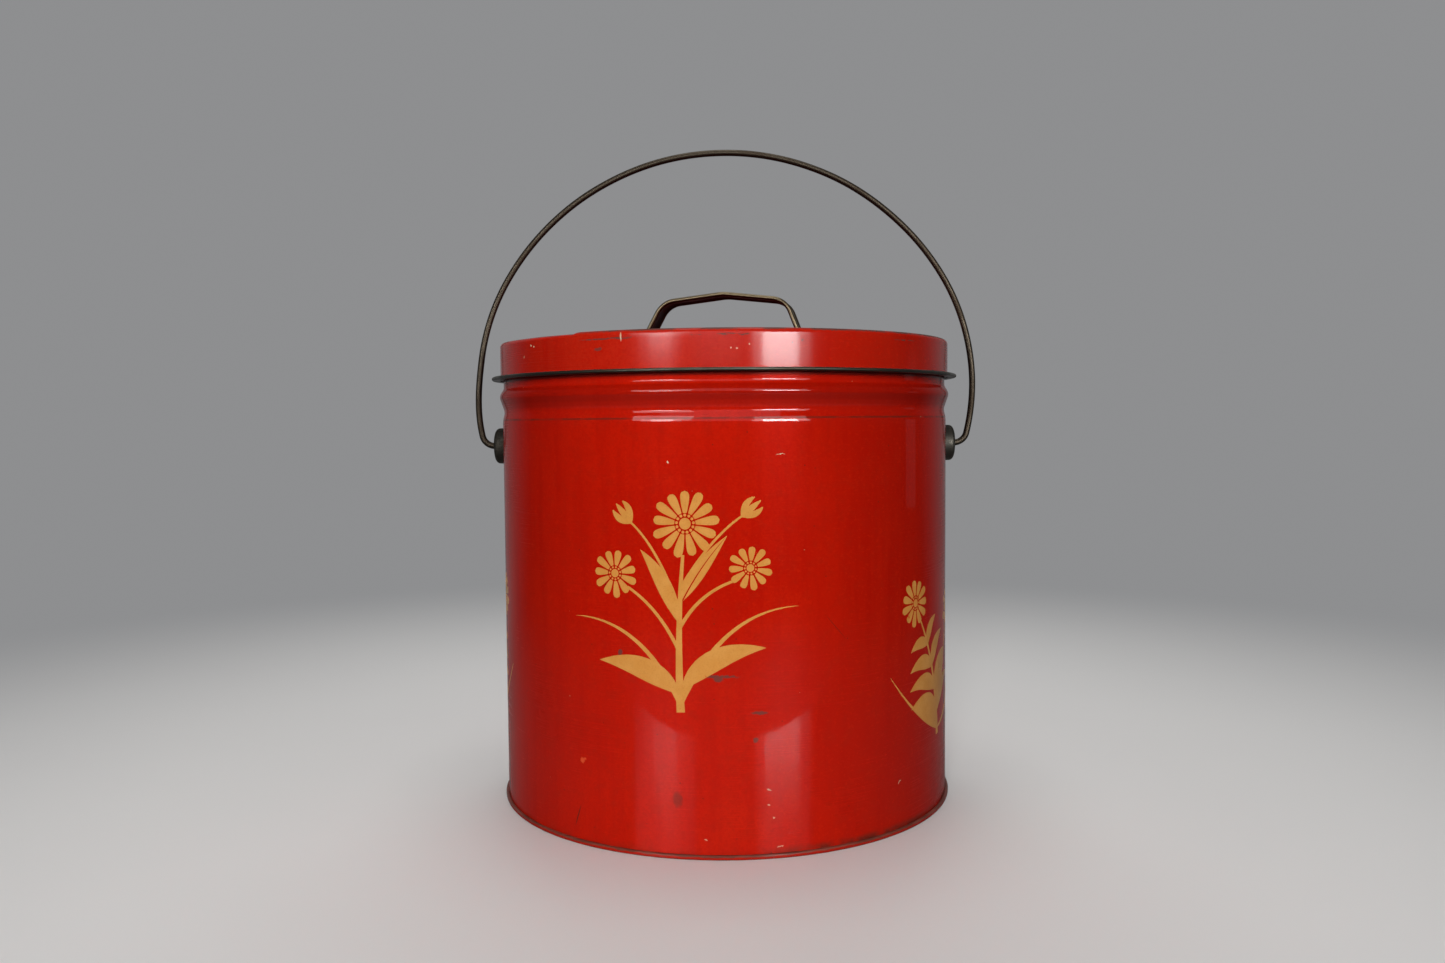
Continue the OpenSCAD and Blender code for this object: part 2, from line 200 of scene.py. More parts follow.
class Nodes:
    """A node tree. Each method adds nodes to it and returns what they give out."""

    def __init__(self, tree):
        self.tree = tree

    def feed(self, socket, value):
        """Gives a socket a constant or another node's output."""
        if isinstance(value, bpy.types.NodeSocket):
            self.tree.links.new(value, socket)
        elif socket.type == "RGBA":
            socket.default_value = (*value, 1.0)
        else:
            socket.default_value = value

    def node(self, kind, inputs=None, **properties):
        """New node, with its properties, and its inputs by name or number."""
        made = self.tree.nodes.new("ShaderNode" + kind)
        for key, value in properties.items():
            setattr(made, key, value)
        for key, value in (inputs or {}).items():
            self.feed(made.inputs[key], value)
        return made

    def split(self, vector):
        return self.node("SeparateXYZ", {0: vector}).outputs

    def join(self, x, y, z=0.0):
        return self.node("CombineXYZ", {0: x, 1: y, 2: z}).outputs[0]

    def scaled(self, vector, factors):
        return self.node("VectorMath", {0: vector, 1: factors}, operation="MULTIPLY").outputs[0]

    def math(self, operation, *values):
        """Values joined by an operation, from the first to the last."""
        result = values[0]
        for value in values[1:]:
            result = self.node("Math", {0: result, 1: value}, operation=operation).outputs[0]
        return result

    def times(self, *values):
        return self.math("MULTIPLY", *values)

    def plus(self, *values):
        return self.math("ADD", *values)

    def minus(self, a, b):
        return self.math("SUBTRACT", a, b)

    def either(self, *masks):
        return self.math("MAXIMUM", *masks)

    def noise(self, vector, scale, detail=3.0, roughness=0.5, distortion=0.0):
        inputs = {"Vector": vector, "Scale": scale, "Detail": detail}
        inputs.update({"Roughness": roughness, "Distortion": distortion})
        return self.node("TexNoise", inputs).outputs[0]

    def cells(self, vector, scale):
        """Distance to the nearest of scattered points, and a random value for that point."""
        made = self.node("TexVoronoi", {"Vector": vector, "Scale": scale})
        return made.outputs["Distance"], self.split(made.outputs["Color"])[0]

    def step(self, value, low, high, start=0.0, end=1.0):
        """Smooth step from start, where the value is low, to end, where it is high."""
        inputs = dict(enumerate((value, low, high, start, end)))
        return self.node("MapRange", inputs, interpolation_type="SMOOTHSTEP").outputs[0]

    def clouds(self, vector, scale, detail, low, high, start=0.0, end=1.0, roughness=0.5):
        """Noise, as a smooth step between two of its levels."""
        return self.step(self.noise(vector, scale, detail, roughness), low, high, start, end)

    def band(self, value, middle, half, soft):
        """1 within half of the middle, falling to 0 over the soft stretch outside it."""
        away = self.node("Math", {0: self.minus(value, middle)}, operation="ABSOLUTE").outputs[0]
        return self.step(away, half, half + soft, 1.0, 0.0)

    def specks(self, vector, scale, inner, outer, rare):
        """Dots at some scattered points: their radius, sharp and soft, and how rare they are."""
        distance, chance = self.cells(vector, scale)
        return self.times(self.step(distance, inner, outer, 1.0, 0.0), self.step(chance, rare, rare + 0.04))

    def mix(self, share, a, b):
        """Colour a, turning to colour b as the share goes from 0 to 1."""
        return self.node("Mix", {0: share, 6: a, 7: b}, data_type="RGBA").outputs[2]

    def facing(self):
        """How far the surface faces up, from -1 to 1."""
        return self.split(self.node("TexCoord").outputs["Normal"])[2]

    def radius(self, place):
        """Distance from the pail's axis, in millimetres."""
        flat = self.scaled(place, (1 / MM, 1 / MM, 0.0))
        return self.node("VectorMath", {0: flat}, operation="LENGTH").outputs["Value"]

    def unrolled(self, place, radius):
        """Distance round the pail from its front and height, in millimetres."""
        x, y, z = self.split(place)
        angle = self.math("ARCTAN2", x, self.times(y, -1.0))
        return self.times(angle, radius), self.times(z, 1 / MM)

    def mark(self, around, up, middle, level, length, height, turn):
        """Oval mark on the unrolled wall: its middle and level, half length and height, turn in degrees."""
        c, s = math.cos(math.radians(turn)), math.sin(math.radians(turn))
        du, dv = self.minus(around, middle), self.minus(up, level)
        along = self.plus(self.times(du, c / length), self.times(dv, s / length))
        across = self.plus(self.times(dv, c / height), self.times(du, -s / height))
        reach = self.plus(self.times(along, along), self.times(across, across))
        return self.step(reach, 0.25, 1.0, 1.0, 0.0)

    def marks(self, unrolled, places):
        return self.either(*[self.mark(*unrolled, *place) for place in places])


class Surface(Nodes):
    """A node material round one Principled shader, with a colour that others are painted over."""

    def __init__(self, name, colour, **settings):
        self.material = bpy.data.materials.new(name)
        self.material.use_nodes = True
        super().__init__(self.material.node_tree)
        self.shader = self.tree.nodes["Principled BSDF"]
        self.place = self.node("TexCoord").outputs["Object"]
        self.colour = colour
        for socket, value in settings.items():
            self.set(socket.replace("_", " "), value)

    def set(self, socket, value):
        """Sets a socket of the shader to a constant or to another node's output."""
        self.feed(self.shader.inputs[socket], value)

    def paint(self, colour, mask, share=1.0):
        """Lays a colour over the surface's, to that share where the mask is 1."""
        cover = mask if share == 1.0 else self.times(mask, share)
        self.colour = self.mix(cover, self.colour, colour)

    def finish(self, roughness, height, distance):
        """The material, with its roughness and with bumps, in millimetres where their height is 1."""
        self.set("Base Color", self.colour)
        self.set("Roughness", roughness)
        bump = self.node("Bump", {"Height": height, "Distance": distance * MM, "Strength": 1.0})
        self.set("Normal", bump.outputs[0])
        return self.material


# Colours, linear
RED = (0.545, 0.0092, 0.0012)
LID_RED = (0.480, 0.0150, 0.0042)
DEEP_RED = (0.445, 0.0055, 0.0008)
WARM_RED = (0.61, 0.0180, 0.0030)
SHADED_RED = (0.16, 0.0030, 0.0008)
WORN_RED = (0.39, 0.0115, 0.0035)
DIRT = (0.055, 0.018, 0.010)
BARE_DARK = (0.050, 0.047, 0.038)
CHIP_CREAM = (0.62, 0.42, 0.27)
CHIP_ORANGE = (0.72, 0.075, 0.022)
GOLD = (0.60, 0.255, 0.052)
GOLD_PALE = (0.68, 0.33, 0.085)
GOLD_DEEP = (0.42, 0.13, 0.025)
TIN = (0.46, 0.45, 0.43)
TIN_BRIGHT = (0.60, 0.59, 0.57)
TIN_STAIN = (0.22, 0.16, 0.11)
# Near-black: grime in pits, and painted shade under the hoop and on the dark metal's undersides
GRIME_AND_SHADE = (0.014, 0.011, 0.008)
SEAM_BARE = (0.190, 0.055, 0.038)
SEAM_DULL = (0.110, 0.036, 0.024)
BLACK = (0.0, 0.0, 0.0)

# Share of the light that the tin mirrors, in the red of the lacquer, which is worn thin near the foot
TIN_LOW = 0.12
TIN_HIGH = 0.03
THIN_BELOW = 75.0
THICK_ABOVE = 135.0

# Polish of the front: half its width round the pail, and the stretch over which it fades
POLISH_HALF = 70.0
POLISH_FADE = 35.0

# Marks on the front: place round the pail and height, half length and half height, turn
DARK_SCUFFS = [
    (-4.0, 77.3, 11.5, 0.75, -1.0),
    (-3.4, 76.2, 2.6, 1.5, -8.0),
    (14.0, 61.8, 4.5, 0.9, 0.0),
    (12.1, 50.5, 1.4, 1.3, 0.0),
    (-46.0, 86.0, 1.6, 1.6, 0.0),
]
SMUDGES = [
    (-20.8, 25.0, 2.6, 3.8, 0.0),
]
PALE_CHIPS = [
    (17.5, 29.1, 1.3, 0.35, -15.0),
    (17.4, 22.7, 0.7, 0.4, 10.0),
    (19.5, 17.1, 0.5, 0.5, 0.0),
    (22.4, 4.6, 1.7, 0.35, 5.0),
    (84.8, 22.7, 1.6, 0.25, 40.0),
    (-23.6, 166.5, 0.45, 0.45, 0.0),
    (23.4, 169.5, 2.4, 0.22, 4.0),
    (-9.0, 8.2, 0.7, 0.3, -10.0),
]
ORANGE_CHIPS = [
    (-66.5, 37.0, 1.5, 1.6, 30.0),
    (-65.2, 37.6, 1.0, 0.6, 0.0),
]
HAIRLINES = [
    (-69.5, 12.2, 6.2, 0.34, 70.0),
    (-52.0, 118.0, 7.0, 0.12, 74.0),
    (48.0, 96.0, 9.0, 0.14, -48.0),
]
LID_CHIPS = [
    (-43.9, 218.6, 0.35, 2.2, 0.0),
    (-97.5, 217.4, 0.9, 0.45, -30.0),
    (-95.0, 216.8, 0.6, 0.5, 0.0),
    (-104.0, 212.6, 0.8, 0.35, 45.0),
    (3.0, 213.2, 0.45, 0.45, 0.0),
    (5.4, 213.0, 0.6, 0.4, 0.0),
    (10.6, 214.6, 0.4, 0.4, 0.0),
]
LID_EDGE_WEAR = [
    (-52.0, 217.9, 15.0, 0.45, 0.0),
    (-43.0, 218.3, 8.0, 0.35, 0.5),
    (-11.5, 218.6, 3.0, 0.40, 0.0),
    (1.5, 218.9, 5.0, 0.50, 0.0),
    (8.0, 218.8, 3.4, 0.60, 0.0),
    (88.0, 217.9, 9.0, 0.35, 0.0),
]
LID_SCUFFS = [
    (-55.0, 213.8, 2.4, 0.9, 8.0),
    (33.0, 216.4, 0.7, 0.6, 0.0),
]


def speckle(s, around, up):
    """Slow changes of tone, painted shade towards the sides, fine mottling and specks in the lacquer's red.
    Returns its smudged gloss.
    """
    s.paint(DEEP_RED, s.clouds(s.place, 14.0, 2.0, 0.35, 0.70), 0.55)
    s.paint(WARM_RED, s.clouds(s.place, 31.0, 3.0, 0.52, 0.78), 0.40)
    runs = s.join(s.times(around, 0.16), s.times(up, 0.012))
    s.paint(DEEP_RED, s.clouds(runs, 1.0, 4.0, 0.44, 0.68, 0.0, 0.60, roughness=0.6))
    # Painted shade: the red darker away from the front, towards both sides and the back
    painted_side_shade = s.either(s.step(around, -115.0, -50.0, 0.22, 0.0), s.step(around, 10.0, 85.0, 0.0, 0.26))
    s.paint(SHADED_RED, painted_side_shade)
    s.paint(WORN_RED, s.clouds(s.place, 240.0, 3.0, 0.46, 0.72, roughness=0.6), 0.45)
    s.paint(DEEP_RED, s.clouds(s.place, 900.0, 2.0, 0.40, 0.75), 0.70)
    s.paint(WARM_RED, s.clouds(s.scaled(s.place, (1.0, 1.0, 1.6)), 620.0, 2.0, 0.54, 0.70), 0.30)
    s.paint(DIRT, s.specks(s.place, 210.0, 0.045, 0.09, 0.80), 0.7)
    s.paint(CHIP_CREAM, s.specks(s.scaled(s.place, (1.0, 1.0, 1.7)), 90.0, 0.018, 0.035, 0.72), 0.6)
    smudges = s.clouds(s.place, 26.0, 4.0, 0.35, 0.75, 0.0, 0.10, roughness=0.6)
    streaks = s.join(s.times(around, 0.012), s.times(up, 1.3))
    return s.plus(smudges, s.clouds(streaks, 2.0, 4.0, 0.45, 0.75, 0.0, 0.06))


def wavering(s, around, up, reach):
    """The same unrolled place, shifted a little by noise so that edges of marks are ragged."""
    shift = s.node("TexNoise", {"Vector": s.place, "Scale": 700.0})
    x, y, _ = s.split(shift.outputs["Color"])
    return [s.plus(value, s.times(s.minus(wobble, 0.5), reach)) for value, wobble in ((around, x), (up, y))]


def finish_lacquer(s, gloss, bare):
    """Joins gloss and bare patches into the shader, with the fine waves of poured lacquer."""
    peel = s.plus(s.noise(s.place, 420.0, 2.0), s.times(s.noise(s.place, 60.0, 2.0), 1.6))
    return s.finish(s.plus(gloss, s.times(bare, 0.25), 0.20), s.minus(peel, s.times(bare, 0.9)), 0.012)


def wall_lacquer():
    """Red lacquer of the wall, with painted shade along the shoulder's crease and flanks and under the hoop,
    and the scuffs and chips of the front.
    """
    s = Surface("wall_lacquer", RED, Specular_IOR_Level=0.01, Coat_Roughness=0.03)
    around, up = s.unrolled(s.place, wall_r)
    gloss = speckle(s, around, up)
    s.set("Metallic", s.step(up, THIN_BELOW, THICK_ABOVE, TIN_LOW, TIN_HIGH))
    s.paint(SHADED_RED, s.step(up, THIN_BELOW, THICK_ABOVE, 0.0, 0.12))
    patchy = s.clouds(s.place, 120.0, 4.0, 0.30, 0.62)
    # Painted shade along the crease at the top of the straight wall, broken by noise
    crease_shade = s.band(up, wall_top_z + 0.2, 0.20, 0.40)
    s.paint(DIRT, s.times(crease_shade, s.step(patchy, 0.0, 1.0, 0.25, 0.60)))
    # Painted shade on the shoulder between the groove and the neck, and below the bead's crest
    above_groove = s.step(up, groove_z + 0.8, groove_z + 2.6)
    s.paint(SHADED_RED, s.times(above_groove, s.step(up, neck_z - 1.2, neck_z - 0.4, 1.0, 0.0)), 0.32)
    s.paint(SHADED_RED, s.band(up, bead_z - 2.6, 0.8, 1.2), 0.30)
    # Painted shadow of the hoop on the neck just below it
    s.paint(GRIME_AND_SHADE, s.step(up, hoop_foot_z - 1.7, hoop_foot_z - 0.9), 0.45)
    foot = s.step(up, SEAM_H + 0.3, SEAM_H + 3.4, 1.0, 0.0)
    s.paint(DIRT, s.times(foot, s.step(around, 5.0, 45.0, 0.20, 0.70), patchy))
    ragged = wavering(s, around, up, 1.6)
    scuffs = s.marks(ragged, DARK_SCUFFS)
    s.paint(BARE_DARK, scuffs, 0.72)
    s.paint(DIRT, s.marks(ragged, SMUDGES), 0.50)
    s.paint(DIRT, s.marks((around, up), HAIRLINES), 0.9)
    s.paint(CHIP_ORANGE, s.marks(ragged, ORANGE_CHIPS))
    chips = s.marks(ragged, PALE_CHIPS)
    s.paint(CHIP_CREAM, chips)
    front = s.band(around, 0.0, POLISH_HALF, POLISH_FADE)
    shoulder = s.step(up, wall_top_z - 5.0, wall_top_z - 1.0, 0.0, 0.32)
    flank = s.band(up, (groove_z + bead_z) / 2, 1.6, 0.8)
    polish = s.plus(s.minus(shoulder, s.times(flank, 0.32)), 0.08)
    s.set("Coat Weight", s.plus(s.times(front, polish), 0.20))
    return finish_lacquer(s, gloss, s.either(scuffs, chips))


def lid_lacquer():
    """Red lacquer of the lid, worn to dark metal along the corner of its skirt and chipped on its side."""
    s = Surface("lid_lacquer", LID_RED, Specular_IOR_Level=0.04, Coat_Roughness=0.12)
    around, up = s.unrolled(s.place, lid_r)
    gloss = speckle(s, around, up)
    ragged = wavering(s, around, up, 0.9)
    radius = s.radius(s.place)
    outside = s.step(radius, lid_r - 1.4, lid_r - 0.5)
    brink = s.times(s.step(ragged[1], lid_z - 1.2, lid_z - 0.5), s.step(radius, lid_r - 3.0, lid_r - 2.2))
    patches = s.clouds(s.scaled(s.place, (1.0, 1.0, 0.2)), 75.0, 3.0, 0.40, 0.52)
    frayed = s.clouds(s.scaled(s.place, (1.0, 1.0, 3.0)), 330.0, 3.0, 0.38, 0.52)
    front = s.times(s.marks(ragged, LID_EDGE_WEAR), frayed, outside)
    worn = s.either(s.times(brink, s.step(patches, 0.0, 1.0, 0.45, 1.0)), front)
    s.paint(BARE_DARK, worn, 0.80)
    lip_edge = s.band(radius, lid_r - LIP_W, 0.25, 0.35)
    s.paint(BARE_DARK, s.times(lip_edge, s.clouds(s.place, 160.0, 4.0, 0.45, 0.60)), 0.8)
    scuffs = s.times(s.marks(ragged, LID_SCUFFS), outside)
    s.paint(BARE_DARK, scuffs, 0.6)
    chips = s.times(s.marks(ragged, LID_CHIPS), outside)
    s.paint(CHIP_CREAM, chips)
    polish = s.step(s.band(around, 0.0, POLISH_HALF, POLISH_FADE), 0.0, 1.0, 0.26, 0.40)
    s.set("Coat Weight", s.times(s.step(worn, 0.0, 1.0, 1.0, 0.15), polish))
    return finish_lacquer(s, gloss, s.either(worn, scuffs, chips))


def seam_lacquer():
    """Red lacquer of the foot seam, rubbed to brown metal along its upper edge."""
    s = Surface("seam_lacquer", RED, Specular_IOR_Level=0.02, Coat_Weight=0.32, Coat_Roughness=0.08)
    around, up = s.unrolled(s.place, seam_r)
    gloss = speckle(s, around, up)
    ragged = s.plus(up, s.clouds(s.place, 240.0, 4.0, 0.25, 0.75, -0.25, 0.25))
    worn = s.step(ragged, SEAM_H - 0.75, SEAM_H - 0.55)
    bare = s.mix(s.clouds(s.place, 95.0, 3.0, 0.35, 0.65), SEAM_BARE, SEAM_DULL)
    s.paint(DIRT, 0.30)
    s.paint(bare, worn, 0.9)
    s.paint(DIRT, s.step(ragged, 0.10, 0.5, 1.0, 0.0), 0.6)
    return finish_lacquer(s, gloss, worn)


def gold_print():
    """Ochre printing ink under the same varnish, slightly uneven and thinned by rubbing."""
    s = Surface("gold_print", GOLD, Specular_IOR_Level=0.01, Coat_Weight=0.28, Coat_Roughness=0.05)
    s.paint(GOLD_PALE, s.clouds(s.place, 160.0, 3.0, 0.35, 0.70), 0.45)
    s.paint(GOLD_DEEP, s.clouds(s.place, 1500.0, 2.0, 0.45, 0.75), 0.22)
    s.paint(RED, s.clouds(s.place, 330.0, 4.0, 0.68, 0.76), 0.55)
    return s.finish(s.clouds(s.place, 40.0, 3.0, 0.3, 0.7, 0.24, 0.36), s.noise(s.place, 420.0, 2.0), 0.010)


def tinplate():
    """Bare tin inside the pail and under the lid: dull, with drifting stains and fine rolling lines."""
    s = Surface("tinplate", TIN, Metallic=1.0)
    stains = s.step(s.noise(s.place, 28.0, 5.0, 0.6, 0.4), 0.50, 0.78)
    s.paint(TIN_STAIN, stains, 0.7)
    spangle, chance = s.cells(s.place, 55.0)
    s.paint(TIN_BRIGHT, s.step(chance, 0.2, 0.9, 0.0, 0.14))
    lines = s.noise(s.scaled(s.place, (30.0, 30.0, 900.0)), 1.0, 3.0)
    roughness = s.plus(s.step(lines, 0.3, 0.7, 0.30, 0.42), s.times(stains, 0.15))
    return s.finish(roughness, s.plus(lines, spangle), 0.010)


def dark_metal(name, colours, roughness, grain, under_shade=0.5, pitting=0.5, down=(-0.75, -0.05), **settings):
    """Blackened steel of three colours: its base, a brown patina and the brighter metal where it is rubbed.
    Dark grime lies in its pits, and painted shade where it faces down."""
    base, patina, bright = colours
    s = Surface(name, base, **{"Metallic": 1.0, **settings})
    brown = s.clouds(s.place, 55.0, 4.0, 0.40, 0.68, roughness=0.6)
    s.paint(patina, brown)
    rubbed = s.clouds(s.scaled(s.place, grain), 1.0, 4.0, 0.52, 0.74)
    s.paint(bright, rubbed, 0.55)
    pits = s.clouds(s.place, 1100.0, 3.0, 0.60, 0.74)
    s.paint(GRIME_AND_SHADE, pits, pitting)
    # Painted shade on the side that faces down
    s.paint(GRIME_AND_SHADE, s.step(s.facing(), *down, 1.0, 0.0), under_shade)
    dull = s.step(brown, 0.0, 1.0, roughness, roughness + 0.12)
    relief = s.minus(s.noise(s.place, 650.0, 3.0), pits)
    return s.finish(s.plus(dull, s.times(rubbed, -0.08)), relief, 0.060 * pitting)


wall_red = wall_lacquer()
lid_red = lid_lacquer()
seam_red = seam_lacquer()
gold = gold_print()
tin = tinplate()
hoop_steel = dark_metal("hoop_steel", [(0.105, 0.108, 0.088), (0.080, 0.070, 0.050), (0.20, 0.20, 0.165)],
                        0.42, (60.0, 60.0, 500.0), under_shade=0.95, pitting=0.3)
ear_steel = dark_metal("ear_steel", [(0.085, 0.080, 0.069), (0.066, 0.059, 0.047), (0.14, 0.13, 0.11)],
                       0.58, (150.0, 150.0, 150.0), pitting=0.3)
wire_steel = dark_metal("wire_steel", [(0.092, 0.074, 0.054), (0.080, 0.060, 0.042), (0.115, 0.094, 0.070)],
                        0.46, (25.0, 60.0, 25.0), under_shade=0.88, pitting=0.03, down=(-0.80, 0.35))
handle_steel = dark_metal("handle_steel", [(0.230, 0.180, 0.110), (0.130, 0.092, 0.052), (0.52, 0.41, 0.26)],
                          0.36, (45.0, 300.0, 45.0), under_shade=0.96, pitting=0.3, down=(-0.60, 0.30))
# Near-black for the web under the strap: painted shade
strap_shade = dark_metal("strap_shade", [(0.012, 0.013, 0.015), (0.010, 0.009, 0.008), (0.024, 0.025, 0.027)],
                         0.50, (45.0, 300.0, 45.0), under_shade=0.2, pitting=0.3,
                         Metallic=0.0, Specular_IOR_Level=0.02)
wire_tin = dark_metal("wire_tin", [(0.40, 0.39, 0.37), (0.25, 0.21, 0.17), (0.55, 0.54, 0.52)],
                      0.34, (200.0, 200.0, 200.0))


def make_piece(name, points, faces, materials, body, finish, replaced=(), slots=None, sharp=38.0):
    """Mesh piece from points in millimetres, riding on a body. slots gives each face's material."""
    mesh = bpy.data.meshes.new(name)
    mesh.from_pydata([Vector(p) * MM for p in points], [], faces)
    for material in materials:
        mesh.materials.append(material)
    if slots:
        mesh.polygons.foreach_set("material_index", slots)
    shaped = bmesh.new()
    shaped.from_mesh(mesh)
    bmesh.ops.recalc_face_normals(shaped, faces=shaped.faces)
    shaped.to_mesh(mesh)
    shaped.free()
    mesh.shade_smooth()
    mesh.set_sharp_from_angle(angle=math.radians(sharp))
    piece = bpy.data.objects.new(name, mesh)
    bpy.context.scene.collection.objects.link(piece)
    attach(piece, body)
    if replaced:
        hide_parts(*replaced)


def smooth(value):
    """Smooth step from 0 to 1."""
    value = min(max(value, 0.0), 1.0)
    return value * value * (3 - 2 * value)


def arc(centre, radius, start, end, steps=CORNER_STEPS):
    """Points (radius, height) of an arc, its angles in degrees from outwards to upwards."""
    angles = [math.radians(start + (end - start) * i / steps) for i in range(steps + 1)]
    return [(centre[0] + radius * math.cos(a), centre[1] + radius * math.sin(a)) for a in angles]


def crease(before, turn, after, reach, steps=CREASE_STEPS):
    """Points of a line that turns softly, over a reach to either side, on its way between two others."""
    corner = Vector(turn)
    back = (Vector(before) - corner).normalized() * reach
    ahead = (Vector(after) - corner).normalized() * reach
    shares = [i / steps for i in range(steps + 1)]
    return [tuple(corner + back * (1 - s) ** 2 + ahead * s ** 2) for s in shares]


def straight(p, q, steps):
    """Points from p to q, without q."""
    return [(p[0] + (q[0] - p[0]) * i / steps, p[1] + (q[1] - p[1]) * i / steps) for i in range(steps)]


def coated(points, slot):
    """Profile entries for points whose following faces have that material slot."""
    return [(point, slot) for point in points]


def round_pail(angle, radius, height):
    """Point at an angle from the front."""
    return Vector((radius * math.sin(angle), -radius * math.cos(angle), height))


def bands(rings, looped):
    """Faces between each ring of point numbers and the next, and from the last to the first if looped."""
    faces = []
    for i in range(len(rings) if looped else len(rings) - 1):
        lower, upper = rings[i], rings[(i + 1) % len(rings)]
        for k in range(len(lower)):
            n = (k + 1) % len(lower)
            faces.append(tuple(dict.fromkeys((lower[k], lower[n], upper[n], upper[k]))))
    return faces


def lathe(name, profile, materials, body, finish, replaced, warp=None, looped=True):
    """Piece turned about Z. A profile entry is a point (radius, height) and the slot of the next faces."""
    points, rings = [], []
    for (radius, height), _ in profile:
        steps = 1 if radius == 0 else TURN_STEPS
        rings.append([len(points) + k % steps for k in range(TURN_STEPS)])
        for k in range(steps):
            angle = 2 * math.pi * k / TURN_STEPS
            r, h = warp(angle, radius, height) if warp else (radius, height)
            points.append(round_pail(angle, r, h))
    faces = bands(rings, looped)
    slots = [profile[i // TURN_STEPS][1] for i in range(len(faces))]
    make_piece(name, points, faces, materials, body, finish, replaced, slots)


def swept(rings, looped=False):
    """Points and faces of a closed tube through rings of points, looped or with flat ends."""
    n = len(rings[0])
    points = [point for ring in rings for point in ring]
    numbers = [tuple(range(i * n, i * n + n)) for i in range(len(rings))]
    faces = bands(numbers, looped)
    if not looped:
        faces += [numbers[0][::-1], numbers[-1]]
    return points, faces


# The wall isn't quite true: slow waves, none at its foot and shoulder
WAVE_HEIGHT = 0.09
WAVES_ROUND = 2.1
WAVE_RISE = 70.0


def turning(angle, size, level):
    """Place in the noise for an angle round the pail, without a jump at the back."""
    return Vector((math.sin(angle) * size, math.cos(angle) * size, level))


def wave(angle, height):
    """How far the straight wall stands out at a place, from the rolling of the sheet."""
    share = min(max((height - SEAM_H) / (wall_top_z - SEAM_H), 0.0), 1.0)
    where = turning(angle, WAVES_ROUND, height / WAVE_RISE)
    return WAVE_HEIGHT * math.sin(math.pi * share) * noise.noise(where)


def wall_outline():
    """Outside of the wall from its foot to the rolled mouth, as points (radius, height)."""
    neck_turn = math.degrees(math.acos((neck_r - roll_r) / ROLL_R))
    roll = arc((roll_r, roll_z), ROLL_R, -neck_turn, 235.0, 28)
    foot = (wall_r, SEAM_H)
    stations = [
        (foot, 0.0),
        ((wall_r, wall_top_z), WALL_TOP_REACH),
        ((wall_r - GROOVE_IN, groove_z), GROOVE_REACH),
        ((wall_r + BEAD_OUT, bead_z), BEAD_REACH),
        ((neck_r - NECK_FLARE, neck_z), NECK_REACH),
        (roll[0], 0.0),
    ]
    outline = straight((wall_r, SHEET + 2 * FOLD_GAP), foot, 2)
    at = foot
    steps = WALL_STEPS
    for (before, _), (turn, reach), (after, _) in zip(stations, stations[1:], stations[2:]):
        bend = crease(before, turn, after, reach)
        outline += straight(at, bend[0], steps) + bend[:-1]
        at = bend[-1]
        steps = FLANK_STEPS
    return outline + straight(at, roll[0], steps) + roll


def body_wall():
    """Wall of the pail: red outside and over the rolled mouth, bare tin inside."""
    outside = wall_outline()
    inside = [(r - SHEET, z) for r, z in reversed(outside) if z < roll_z - ROLL_R]
    notch = [(roll_r + 0.2, roll_z - ROLL_R + 0.15)]
    profile = coated(outside, 0) + coated(notch + inside, 1)

    def warp(angle, radius, height):
        return radius + wave(angle, height), height

    lathe("pail_wall", profile, [wall_red, tin], "pail", "red_lacquer", ["body_wall"], warp)


def foot_seam():
    """Raised bottom and the seam that folds it round the wall's foot."""
    slit = wall_r + FOLD_GAP
    seam_in = seam_r - SEAM_ROUND
    floor_z = BOTTOM_LIFT + SHEET
    over = [(chuck_or * share, floor_z) for share in (0.0, 0.4, 0.8, 1.0)]
    over += [(chuck_or, SHEET), (slit, SHEET)]
    seam = (
        [(slit, SEAM_H - 0.15), (slit + 0.15, SEAM_H)]
        + arc((seam_in, SEAM_H - SEAM_ROUND), SEAM_ROUND, 90, 0)
        + arc((seam_in, SEAM_ROUND), SEAM_ROUND, 0, -90)
    )
    under = (
        arc((chuck_ir + 0.3, 0.3), 0.3, 270, 180, 4)
        + arc((chuck_ir - 0.5, BOTTOM_LIFT - 0.5), 0.5, 0, 90, 4)
        + [(chuck_ir * 0.6, BOTTOM_LIFT), (0.0, BOTTOM_LIFT)]
    )
    profile = coated(over, 1) + coated(seam, 0) + coated(under, 1)
    lathe("foot_seam", profile, [seam_red, tin], "pail", "red_lacquer", ["bottom_panel"], looped=False)


# Dent in the lid's rim, left of the front: its sharp end, its far end, its depth and its reach down the skirt
DENT_START = math.radians(-34.5)
DENT_SHARP = math.radians(1.6)
DENT_END = math.radians(-82)
DENT_DEPTH = 0.75
DENT_REACH = 5.0


def lid_warp(angle, radius, height):
    """Lid's rim pressed down at its dent, and its skirt a little out of round."""
    turned = (angle + math.pi) % (2 * math.pi) - math.pi
    entry = smooth((DENT_START - turned) / DENT_SHARP)
    leave = smooth((turned - DENT_END) / (DENT_START - DENT_END) * 1.6)
    high = smooth((height - corner_z + DENT_REACH) / (lid_z - corner_z + DENT_REACH))
    outer = smooth((radius - panel_r - TOP_RECESS) / (lid_r - panel_r - TOP_RECESS))
    drop = DENT_DEPTH * entry * leave * high * outer
    ripple = 0.05 * noise.noise(turning(angle, 3, 4.2))
    return radius + ripple * outer, height - drop


